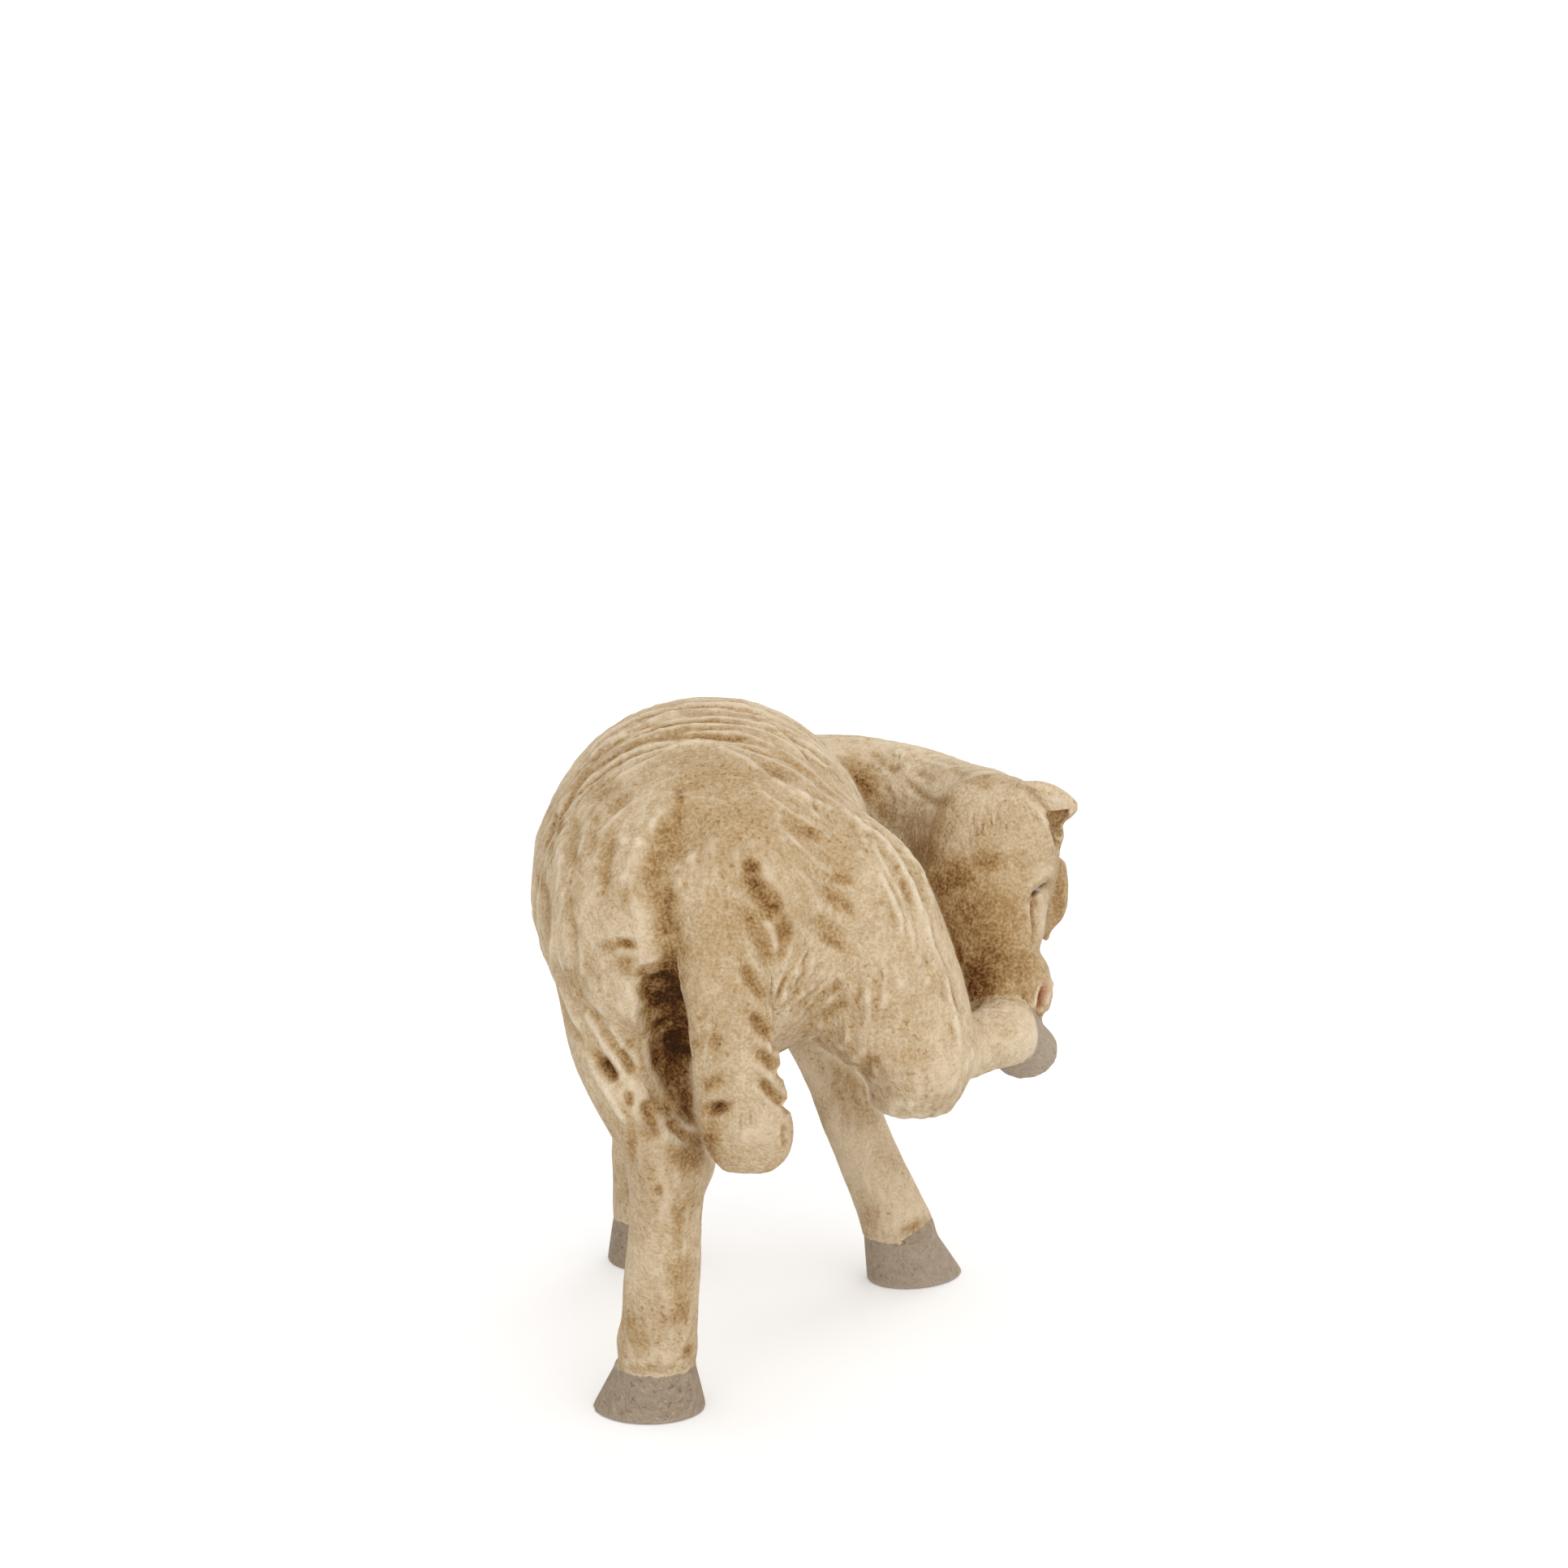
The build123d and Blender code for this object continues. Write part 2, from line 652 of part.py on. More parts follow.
# Tail with carved locks notched into its right edge
tail_points = [
    Vector(sway * tail_sway, -setback * tail_setback, tail_tip_height + (1 - along) * tail_length)
    for along, sway, setback, half_width, half_thickness in tail_section_shares
]
tail_pin_start = tail_points[2]
tail_pin_end = tail_pin_start + Vector(0, pin_length, 0)
with BuildPart() as tail_pin:
    add(rod(tail_pin_start, tail_pin_end, pin_diameter))
tail_hole = rod(tail_pin_start, tail_pin_end, pin_hole_diameter)

with BuildPart() as tail:
    for centre, row in zip(tail_points, tail_section_shares):
        with BuildSketch(Plane(origin=centre)):
            Ellipse(row[3] * tail_width, row[4] * tail_thickness)
    loft()
    with BuildSketch(Plane.XZ):
        for along, sway, half_width in lock_notch_shares:
            notch_height = tail_tip_height + (1 - along) * tail_length
            with Locations((sway * tail_sway + half_width * tail_width, notch_height)):
                Circle(lock_notch_diameter / 2)
    extrude(amount=tail_setback + tail_thickness, both=True, mode=Mode.SUBTRACT)
    add(torso_form.part, mode=Mode.SUBTRACT)
    add(tail_hole, mode=Mode.SUBTRACT)

# Torso, grooved and drilled for the wires and pins
with BuildPart() as torso:
    add(torso_form.part)
    for groove_row in fleece_groove_shares:
        add(fleece_groove(*groove_row), mode=Mode.SUBTRACT)
    add(rump_groove(left_valley_shares, rump_valley_diameter, rump_valley_depth), mode=Mode.SUBTRACT)
    add(rump_groove(right_valley_shares, rump_valley_diameter, rump_valley_depth), mode=Mode.SUBTRACT)
    add(flank_hollow, mode=Mode.SUBTRACT)
    add(left_hind_hole, mode=Mode.SUBTRACT)
    add(left_fore_hole, mode=Mode.SUBTRACT)
    add(right_fore_hole, mode=Mode.SUBTRACT)
    add(thigh_hole, mode=Mode.SUBTRACT)
    add(neck_hole, mode=Mode.SUBTRACT)
    add(tail_hole, mode=Mode.SUBTRACT)

pieces = {
    "torso": torso,
    "neck": neck,
    "head": head,
    "left_ear": left_ear,
    "right_ear": right_ear,
    "tail": tail,
    "left_fore_leg": left_fore_leg,
    "right_fore_leg": right_fore_leg,
    "left_hind_leg": left_hind_leg,
    "right_hind_thigh": right_hind_thigh,
    "right_hind_shank": right_hind_shank,
    "left_fore_hoof": left_fore_hoof,
    "right_fore_hoof": right_fore_hoof,
    "left_hind_hoof": left_hind_hoof,
    "right_hind_hoof": right_hind_hoof,
    "left_fore_wire": left_fore_wire,
    "right_fore_wire": right_fore_wire,
    "left_hind_wire": left_hind_wire,
    "thigh_pin": thigh_pin,
    "shank_pin": shank_pin,
    "neck_pin": neck_pin,
    "head_pin": head_pin,
    "tail_pin": tail_pin,
}

# The origin goes to the ground under the middle of the whole figure
boxes = [piece.part.bounding_box() for piece in pieces.values()]
middle_x = (min(box.min.X for box in boxes) + max(box.max.X for box in boxes)) / 2
middle_y = (min(box.min.Y for box in boxes) + max(box.max.Y for box in boxes)) / 2
centring = Location((-middle_x, -middle_y, 0))
print("sculpting origin in the part's frame", -middle_x, -middle_y)

os.makedirs("parts", exist_ok=True)
for name, piece in pieces.items():
    piece.part = piece.part.moved(centring)
    piece.part.label = name
    export_step(piece.part, f"parts/{name}.step")
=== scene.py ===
import math

import bpy
import numpy as np
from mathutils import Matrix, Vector, noise
from mathutils.bvhtree import BVHTree


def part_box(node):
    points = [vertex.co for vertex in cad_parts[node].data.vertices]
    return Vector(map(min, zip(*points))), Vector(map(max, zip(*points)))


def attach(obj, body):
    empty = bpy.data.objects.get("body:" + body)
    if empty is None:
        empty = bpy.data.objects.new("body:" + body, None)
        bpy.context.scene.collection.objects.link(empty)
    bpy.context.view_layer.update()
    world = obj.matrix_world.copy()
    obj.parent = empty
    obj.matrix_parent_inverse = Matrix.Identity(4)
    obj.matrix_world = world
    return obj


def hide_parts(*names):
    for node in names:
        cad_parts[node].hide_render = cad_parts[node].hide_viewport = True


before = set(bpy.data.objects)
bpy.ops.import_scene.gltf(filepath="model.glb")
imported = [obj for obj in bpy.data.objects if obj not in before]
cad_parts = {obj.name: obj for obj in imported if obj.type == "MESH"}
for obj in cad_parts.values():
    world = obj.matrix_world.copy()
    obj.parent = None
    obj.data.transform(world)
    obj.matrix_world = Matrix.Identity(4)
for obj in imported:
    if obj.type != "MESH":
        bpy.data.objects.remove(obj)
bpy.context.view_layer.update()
mm = 0.001
print("stage: frame loaded,", len(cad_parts), "nodes")

fleeceNodes = ["torso", "neck", "head", "left_ear", "right_ear", "tail", "left_fore_leg", "right_fore_leg",
               "left_hind_leg", "right_hind_thigh", "right_hind_shank"]
hoofNodes = ["left_fore_hoof", "right_fore_hoof", "left_hind_hoof", "right_hind_hoof"]
steelNodes = ["left_fore_wire", "right_fore_wire", "left_hind_wire", "thigh_pin", "shank_pin", "neck_pin",
              "head_pin", "tail_pin"]

# camera, set to the photograph's view; place in millimetres, clip in metres
photoView = {"place": (-2.963, -560.223, 198.4), "tiltDown": 12.5, "focalPixels": 5600.0, "pixels": 1932,
             "sensor": 36, "clip": (0.01, 50)}


def deselectAll():
    bpy.ops.object.select_all(action="DESELECT")


def makeCamera():
    eye = Vector(photoView["place"]) * mm
    bpy.ops.object.camera_add(location=eye, rotation=(math.radians(90 - photoView["tiltDown"]), 0, 0))
    cam = bpy.context.object
    cam.name = "photoCamera"
    cam.data.sensor_width = photoView["sensor"]
    cam.data.lens = photoView["sensor"] * photoView["focalPixels"] / photoView["pixels"]
    cam.data.clip_start, cam.data.clip_end = photoView["clip"]
    bpy.context.scene.camera = cam
    return eye


cameraPlace = makeCamera()

# studio: wide pale floor, even white surroundings, soft suns (name, side, strength, spread in degrees)
studio = {"floorSize": 60.0, "floorColour": (0.86, 0.86, 0.86, 1), "floorRoughness": 0.9, "floorShine": 0.1,
          "floorGlow": 0.24, "white": (1, 1, 1, 1), "worldStrength": 0.80, "worldSeen": 1.0,
          "suns": [("keySun", (0.05, -0.85, 0.62), 0.85, 60), ("fillSun", (0.7, -0.8, 0.12), 0.72, 90),
                   ("rimSun", (0.35, 0.8, 0.55), 0.45, 40)]}


def cameraSees(tree, target, low, high):
    path = tree.nodes.new("ShaderNodeLightPath")
    level = tree.nodes.new("ShaderNodeMapRange")
    level.inputs["To Min"].default_value = low
    level.inputs["To Max"].default_value = high
    tree.links.new(path.outputs["Is Camera Ray"], level.inputs["Value"])
    tree.links.new(level.outputs["Result"], target)


def makeFloor():
    deselectAll()
    bpy.ops.mesh.primitive_plane_add(size=studio["floorSize"], location=(0, 0, 0))
    floor = bpy.context.object
    floor.name = "paleFloor"
    mat = bpy.data.materials.new("paleFloorPaint")
    mat.use_nodes = True
    paint = mat.node_tree.nodes["Principled BSDF"]
    paint.inputs["Base Color"].default_value = studio["floorColour"]
    paint.inputs["Roughness"].default_value = studio["floorRoughness"]
    paint.inputs["Specular IOR Level"].default_value = studio["floorShine"]
    paint.inputs["Emission Color"].default_value = studio["white"]
    cameraSees(mat.node_tree, paint.inputs["Emission Strength"], 0.0, studio["floorGlow"])
    floor.data.materials.append(mat)


def makeLight():
    world = bpy.data.worlds.new("studioWorld")
    bpy.context.scene.world = world
    world.use_nodes = True
    back = world.node_tree.nodes["Background"]
    back.inputs["Color"].default_value = studio["white"]
    cameraSees(world.node_tree, back.inputs["Strength"], studio["worldStrength"], studio["worldSeen"])
    for name, aim, strength, spread in studio["suns"]:
        bpy.ops.object.light_add(type="SUN", location=aim)
        sun = bpy.context.object
        sun.name = name
        sun.data.energy = strength
        sun.data.angle = math.radians(spread)
        sun.rotation_euler = (-Vector(aim)).to_track_quat("-Z", "Y").to_euler()


makeFloor()
makeLight()
bpy.context.scene.view_settings.view_transform = "Standard"
print("stage: camera and studio")

# one continuous cast skin over all the solids, before it is carved and parted; millimetres
skinValues = {"swell": 0.25, "voxel": 0.355, "merge": 0.001, "reach": 9.0, "far": 1000.0, "touch": 0.6,
              "blend": {"torso": 6.5, "neck": 6.5, "right_hind_thigh": 6.5, "left_hind_leg": 5.0,
                        "left_fore_leg": 5.0, "right_fore_leg": 5.0, "head": 4.0, "right_hind_shank": 2.5,
                        "left_ear": 1.6, "right_ear": 1.6},
              "tailRoot": {"height": 58, "over": 10, "narrow": 0.8, "widen": 5.5}, "coronet": 1.6,
              "blendRounds": 170, "coronetRounds": 40, "softRounds": 3, "ownerRounds": 4,
              "fine": ["head", "left_ear", "right_ear", "tail"]}
allNodes = fleeceNodes + hoofNodes


def applyModifier(obj, kind, **values):
    mod = obj.modifiers.new(kind.lower(), kind)
    for key, value in values.items():
        setattr(mod, key, value)
    bpy.context.view_layer.objects.active = obj
    bpy.ops.object.modifier_apply(modifier=mod.name)


def meshCopy(name):
    obj = bpy.data.objects.new("copy_" + name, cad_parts[name].data.copy())
    bpy.context.scene.collection.objects.link(obj)
    deselectAll()
    obj.select_set(True)
    bpy.context.view_layer.objects.active = obj
    bpy.ops.object.mode_set(mode="EDIT")
    bpy.ops.mesh.select_all(action="SELECT")
    bpy.ops.mesh.remove_doubles(threshold=skinValues["merge"] * mm)
    bpy.ops.object.mode_set(mode="OBJECT")
    applyModifier(obj, "DISPLACE", strength=skinValues["swell"] * mm, mid_level=0)
    return obj


def makeSkin():
    copies = [meshCopy(name) for name in allNodes + steelNodes]
    deselectAll()
    for obj in copies:
        obj.select_set(True)
    bpy.context.view_layer.objects.active = copies[0]
    bpy.ops.object.join()
    whole = bpy.context.object
    whole.name = "castSkin"
    applyModifier(whole, "REMESH", mode="VOXEL", voxel_size=skinValues["voxel"] * mm)
    bpy.ops.object.mode_set(mode="EDIT")
    bpy.ops.mesh.separate(type="LOOSE")
    bpy.ops.object.mode_set(mode="OBJECT")
    parts = sorted(bpy.context.selected_objects, key=lambda o: len(o.data.vertices))
    for scrap in parts[:-1]:
        bpy.data.objects.remove(scrap)
    applyModifier(parts[-1], "DISPLACE", strength=-skinValues["swell"] * mm, mid_level=0)
    return parts[-1]


def readSkin():
    mesh = skin.data
    points = np.empty(len(mesh.vertices) * 3)
    mesh.vertices.foreach_get("co", points)
    pairs = np.empty(len(mesh.edges) * 2, dtype=np.int64)
    mesh.edges.foreach_get("vertices", pairs)
    mesh.calc_loop_triangles()
    corners = np.empty(len(mesh.loop_triangles) * 3, dtype=np.int64)
    mesh.loop_triangles.foreach_get("vertices", corners)
    links = np.bincount(pairs, minlength=len(mesh.vertices)).astype(float)
    return len(mesh.vertices), points.reshape(-1, 3), pairs.reshape(-1, 2), links, corners.reshape(-1, 3)


def neighbourMean(values):
    flat = values.reshape(count, -1)
    total = np.empty_like(flat)
    for k in range(flat.shape[1]):
        total[:, k] = (np.bincount(ends[:, 0], flat[ends[:, 1], k], count)
                       + np.bincount(ends[:, 1], flat[ends[:, 0], k], count))
    return (total / degree[:, None]).reshape(values.shape)


def evened(values, rounds):
    for step in range(rounds):
        values = neighbourMean(values)
    return values


def relax(points, weight, rounds):
    points = points.copy()
    for step in range(rounds):
        points += (neighbourMean(points) - points) * (0.5 * weight)[:, None]
    return points


def pointNormals(points):
    face = np.cross(points[tris[:, 1]] - points[tris[:, 0]], points[tris[:, 2]] - points[tris[:, 0]])
    out = np.zeros((count, 3))
    for k in range(3):
        for c in range(3):
            out[:, c] += np.bincount(tris[:, k], face[:, c], count)
    return out / (np.linalg.norm(out, axis=1, keepdims=True) + 1e-20)


def smoothStep(x):
    x = np.clip(x, 0, 1)
    return x * x * (3 - 2 * x)


# distance of every point to each casting, so that seams can be filled and the skin parted again
nodeTrees = {}
for name in allNodes:
    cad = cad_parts[name].data
    nodeTrees[name] = BVHTree.FromPolygons([v.co for v in cad.vertices], [p.vertices for p in cad.polygons])


def nodeDistances(points):
    reach = skinValues["reach"] * mm
    out = np.full((len(allNodes), len(points)), skinValues["far"] * mm)
    for row, name in enumerate(allNodes):
        low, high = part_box(name)
        near = np.all((points > np.array(low) - reach) & (points < np.array(high) + reach), axis=1)
        for i in np.nonzero(near)[0]:
            out[row, i] = nodeTrees[name].find_nearest(points[i])[3]
    return out


skin = makeSkin()
count, place, ends, degree, tris = readSkin()
away = nodeDistances(place)
owner = np.argmin(away, axis=0)
print("stage: skin,", count, "points,", {n: int((owner == i).sum()) for i, n in enumerate(allNodes)})


def seamWeight():
    weight = np.zeros(count)
    root = skinValues["tailRoot"]
    for i, a in enumerate(fleeceNodes):
        for j, b in enumerate(fleeceNodes[i + 1:], i + 1):
            if "tail" in (a, b):  # the tail hangs free below its root
                rise = smoothStep((place[:, 2] / mm - root["height"]) / root["over"])
                width = (root["narrow"] + root["widen"] * rise) * mm
            else:
                width = min(skinValues["blend"][a], skinValues["blend"][b]) * mm
            apart = np.maximum(away[i], away[j])
            touching = np.minimum(away[i], away[j]) < skinValues["touch"] * mm
            weight = np.maximum(weight, smoothStep(1 - apart / width) * touching)
    return weight


def coronetWeight():  # where a hoof joins its leg
    weight = np.zeros(count)
    for hoof in hoofNodes:
        leg = hoof.replace("hoof", "shank" if hoof == "right_hind_hoof" else "leg")
        apart = np.maximum(away[allNodes.index(hoof)], away[allNodes.index(leg)])
        weight = np.maximum(weight, smoothStep(1 - apart / (skinValues["coronet"] * mm)))
    return weight


place = relax(place, seamWeight(), skinValues["blendRounds"])
place = relax(place, coronetWeight(), skinValues["coronetRounds"])
place = relax(place, np.ones(count), skinValues["softRounds"])
print("stage: seams filled")


def refineSkin(names):
    pick = np.isin(owner, [allNodes.index(n) for n in names])
    mesh = skin.data
    mesh.vertices.foreach_set("co", place.ravel())
    inside = [bool(pick[list(p.vertices)].all()) for p in mesh.polygons]
    mesh.polygons.foreach_set("select", inside)
    mesh.update()
    deselectAll()
    skin.select_set(True)
    bpy.context.view_layer.objects.active = skin
    bpy.ops.object.mode_set(mode="EDIT")
    bpy.ops.mesh.select_mode(type="FACE")
    bpy.ops.mesh.subdivide(number_cuts=1)
    bpy.ops.object.mode_set(mode="OBJECT")


refineSkin(skinValues["fine"])
count, place, ends, degree, tris = readSkin()
away = nodeDistances(place)
away = evened(away.T, skinValues["ownerRounds"]).T
owner = np.argmin(away, axis=0)
normal = pointNormals(place)
print("stage: finer head and tail,", count, "points")


def rowsOf(*names):
    return np.isin(owner, [allNodes.index(n) for n in names])


# where each point falls in the photograph, and whether it can be seen there
sightValues = {"turnedAway": 0.12, "slack": 0.7, "evenRounds": 6, "grazing": 0.04, "facing": 0.2}


def toPixels(points):
    tilt = math.radians(photoView["tiltDown"])
    rel = points - np.array(cameraPlace)
    depth = rel[:, 1] * math.cos(tilt) - rel[:, 2] * math.sin(tilt)
    rise = rel[:, 1] * math.sin(tilt) + rel[:, 2] * math.cos(tilt)
    half = photoView["pixels"] / 2
    scale = photoView["focalPixels"] / depth
    return np.stack([half + rel[:, 0] * scale, half - rise * scale], axis=1)


def seenPoints(points, tree):
    rel = points - np.array(cameraPlace)
    far = np.linalg.norm(rel, axis=1)
    ray = rel / far[:, None]
    out = np.zeros(count, dtype=bool)
    for i in np.nonzero((ray * normal).sum(axis=1) < sightValues["turnedAway"])[0]:
        hit = tree.ray_cast(cameraPlace, Vector(ray[i]))
        out[i] = hit[3] is None or hit[3] > far[i] - sightValues["slack"] * mm
    return out


def facingCamera(points, normals):  # 1 faces the camera, below 0 is turned away
    rel = points - np.array(cameraPlace)
    return -(rel * normals).sum(axis=1) / np.linalg.norm(rel, axis=1)


def spotFall(spots, x, y, wide, high, turn=0.0):
    c, s = math.cos(math.radians(turn)), math.sin(math.radians(turn))
    dx, dy = spots[:, 0] - x, spots[:, 1] - y
    return np.exp(-((dx * c + dy * s) / wide) ** 2 - ((dy * c - dx * s) / high) ** 2)


pixel = toPixels(place)
# outline set to the photograph: spot and spread in pixels, then sideways and up in millimetres
nudges = [
    (1318, 1050, 24, 24, -1.0, 0.0, "head"), (1309, 1115, 15, 42, -0.9, 0.0, "head"),
    (1296, 1170, 15, 14, -1.1, 0.0, "head"), (1204, 1238, 15, 18, -1.3, -0.3, "head"),
    (1308, 1082, 22, 24, 0.3, 2.2, "left_ear"), (1316, 1110, 12, 40, 0.4, 0.0, "left_ear"),
    (1312, 1154, 16, 16, -1.4, 0.1, "left_ear"), (874, 1430, 18, 32, 1.7, 0.0, "left_hind_leg"),
    (756, 1668, 12, 18, 0.5, 0.0, "left_hind_leg"),
]
earTip = {"spot": (1298, 1154, 22, 22), "gain": 1.5, "rounds": 16}


def nudge(x, y, wide, high, side, rise, name):
    fall = spotFall(pixel, x, y, wide, high) * rowsOf(name)
    place[:, 0] += side * mm * fall
    place[:, 2] += rise * mm * fall


for row in nudges:
    nudge(*row)
tipWeight = spotFall(toPixels(place), *earTip["spot"]) * rowsOf("left_ear", "head")
place = relax(place, np.clip(tipWeight * earTip["gain"], 0, 1), earTip["rounds"])
normal = pointNormals(place)
pixel = toPixels(place)
skinTree = BVHTree.FromPolygons(place.tolist(), tris.tolist())
seen = seenPoints(place, skinTree)


def softView():
    soft = np.clip(evened(seen.astype(float), sightValues["evenRounds"]) * 2 - 1, 0, 1) * seen
    facing = facingCamera(place, normal)
    return soft, soft * smoothStep((facing - sightValues["grazing"]) / sightValues["facing"])


softSeen, view = softView()
bodySide = (pixel, view)
print("stage: seen from the camera,", int(seen.sum()), "points")


def lineField(path, reach, mask, spots):
    path = np.array(path, dtype=float)
    low, high = path.min(axis=0) - reach, path.max(axis=0) + reach
    pick = np.nonzero(mask & np.all((spots > low) & (spots < high), axis=1))[0]
    best = np.full(len(pick), 1e9)
    share = np.zeros(len(pick))
    steps = np.linalg.norm(np.diff(path, axis=0), axis=1)
    total, run = steps.sum(), 0.0
    for a, b, step in zip(path[:-1], path[1:], steps):
        t = np.clip(((spots[pick] - a) @ (b - a)) / max(step * step, 1e-9), 0, 1)
        d = np.linalg.norm(spots[pick] - a - t[:, None] * (b - a), axis=1)
        closer = d < best
        best = np.where(closer, d, best)
        share = np.where(closer, (run + t * step) / total, share)
        run += step
    return pick, best, share


relief = np.zeros(count)  # millimetres along the normal
# brown stain and wash, which also carries painted shade in the hollow between tail and thigh, at the neck
# fold, on the throat and at the top of the right fore leg
washAndShade = np.zeros(count)  # brown stain


# knife marks: reach, fade and start of the ends, place of the lip and spread of the stain, in widths
knife = {"reach": 3, "fade": 0.8, "start": 0.2, "lip": 2, "stain": 1.25, "unseen": 0.01}


def carve(path, width, depth, stain=0.0, taper=0.25, lip=0.0, mask=None, side=bodySide):
    spots, shown = side
    if mask is not None:
        shown = shown * mask
    pick, off, share = lineField(path, width * knife["reach"], shown > knife["unseen"], spots)
    fade = (smoothStep(np.minimum(share, 1 - share) / taper) * knife["fade"] + knife["start"]) * shown[pick]
    relief[pick] += -depth * np.exp(-(off / width) ** 2) * fade
    if lip:
        relief[pick] += lip * np.exp(-((off - knife["lip"] * width) / width) ** 2) * fade
    if stain:
        washAndShade[pick] = np.maximum(washAndShade[pick], stain * np.exp(-(off / (width * knife["stain"])) ** 2) * fade)


def spotField(x, y, wide, high, turn, side, mask=None):
    spots, shown = side
    fall = spotFall(spots, x, y, wide, high, turn) * shown
    return fall if mask is None else fall * mask


# darkens a patch; used for real stains and also for painted shade
def stain(x, y, wide, high, amount, turn=0.0, deep=0.0, mask=None, side=bodySide):
    fall = spotField(x, y, wide, high, turn, side, mask)
    np.maximum(washAndShade, amount * fall, out=washAndShade)
    if deep:
        relief[:] -= deep * fall


# carved fleece that runs round the barrel and along the limbs: depth and grain in millimetres
fleece = {"torso": (0.34, None), "neck": (0.24, (13, 3.4, 3.6)), "right_hind_thigh": (0.10, (3.6, 3.6, 16)),
          "left_hind_leg": (0.07, (3.2, 3.2, 14)), "left_fore_leg": (0.04, (2.4, 2.4, 12)),
          "right_fore_leg": (0.04, (2.4, 2.4, 12)), "tail": (0.07, (2.6, 2.6, 10)),
          "head": (0.06, (3, 7, 6)), "right_hind_shank": (0.07, (7, 6, 2.2))}
barrel = {"centre": (-12.76, 63.5), "round": 1.5, "along": 3.6, "flat": 0.22, "rise": 0.78, "turned": 0.95,
          "over": 0.5}
crestValues = {"sharp": 2.3, "finer": 1.9, "shift": (7.1, 3.3, 1.7), "first": 0.75, "second": 0.4,
               "level": 0.4}
brush = {"grain": (1.1, 1.3, 2.4), "depth": 0.16, "patch": 9.0, "shift": (3.1, 8.2, 5.5), "bare": 0.35,
         "over": 0.7, "swell": 0.18, "swellGrain": 5.5,
         "own": {"right_hind_thigh": 0.24, "left_hind_leg": 0.10, "right_fore_leg": 0.11,
                 "left_fore_leg": 0.11}}


def noiseAt(points, shift=(0, 0, 0)):
    return np.array([noise.noise(Vector(p) + Vector(shift)) for p in points])


def crest(spot):
    finer = spot * crestValues["finer"] + Vector(crestValues["shift"])
    first = max(0.0, 1 - abs(noise.noise(spot)) * crestValues["sharp"])
    second = max(0.0, 1 - abs(noise.noise(finer)) * crestValues["sharp"])
    return (crestValues["first"] * first * first + crestValues["second"] * second * second
            - crestValues["level"])


def fleeceRelief():
    out = np.zeros(count)
    inMm = place / mm
    for name, (depth, grain) in fleece.items():
        pick = np.nonzero(rowsOf(name))[0]
        here = inMm[pick]
        if grain is None:
            turn = np.arctan2(here[:, 0] - barrel["centre"][0], here[:, 2] - barrel["centre"][1])
            spots = np.stack([np.sin(turn) * barrel["round"], here[:, 1] / barrel["along"],
                              np.cos(turn) * barrel["round"]], axis=1)
            side = smoothStep((barrel["turned"] - np.abs(normal[pick, 1])) / barrel["over"])
            depth = depth * (barrel["flat"] + barrel["rise"] * side)
        else:
            spots = here / np.array(grain)
        out[pick] = depth * np.array([crest(Vector(p)) for p in spots])
        out[pick] += brush["swell"] * noiseAt(here / brush["swellGrain"])
        stroke = noiseAt(here / np.array(brush["grain"]))
        where = smoothStep((noiseAt(here / brush["patch"], brush["shift"]) + brush["bare"]) / brush["over"])
        out[pick] += brush["own"].get(name, brush["depth"]) * stroke * where
    return out


# the cuts in the solids are worn softer on the cast: reach in pixels, strength, line in pixels
wear = {"torso": 0.09, "edge": 1.6, "rounds": 105}
softLines = [
    (12, 0.6, [(1266, 1212), (1274, 1224)]),
    (30, 1.0, [(850, 985), (862, 1000), (860, 1022)]),
    (14, 0.8, [(1062, 1298), (1070, 1320), (1074, 1345), (1086, 1366)]),
    (16, 0.7, [(796, 1366), (818, 1376), (842, 1384), (864, 1398)]),
    (26, 0.9, [(842, 960), (837, 1007), (817, 1030), (807, 1063), (803, 1090), (812, 1120), (815, 1150),
               (812, 1185)]),
    (22, 0.8, [(900, 1040), (925, 1080), (945, 1110), (962, 1150)]),
    (17, 0.8, [(812, 1188), (790, 1205), (788, 1225), (798, 1262), (806, 1317), (827, 1352), (852, 1388)]),
]


def wearCuts(points):
    weight = np.where(rowsOf("torso"), wear["torso"], 0.0)
    for reach, strength, path in softLines:
        pick, off, share = lineField(path, reach, seen & ~rowsOf("tail"), pixel)
        worn = strength * smoothStep(wear["edge"] - off / reach * wear["edge"])
        weight[pick] = np.maximum(weight[pick], worn)
    return relax(points, weight, wear["rounds"])


place = wearCuts(place)
normal = pointNormals(place)
relief += fleeceRelief()
print("stage: fleece")

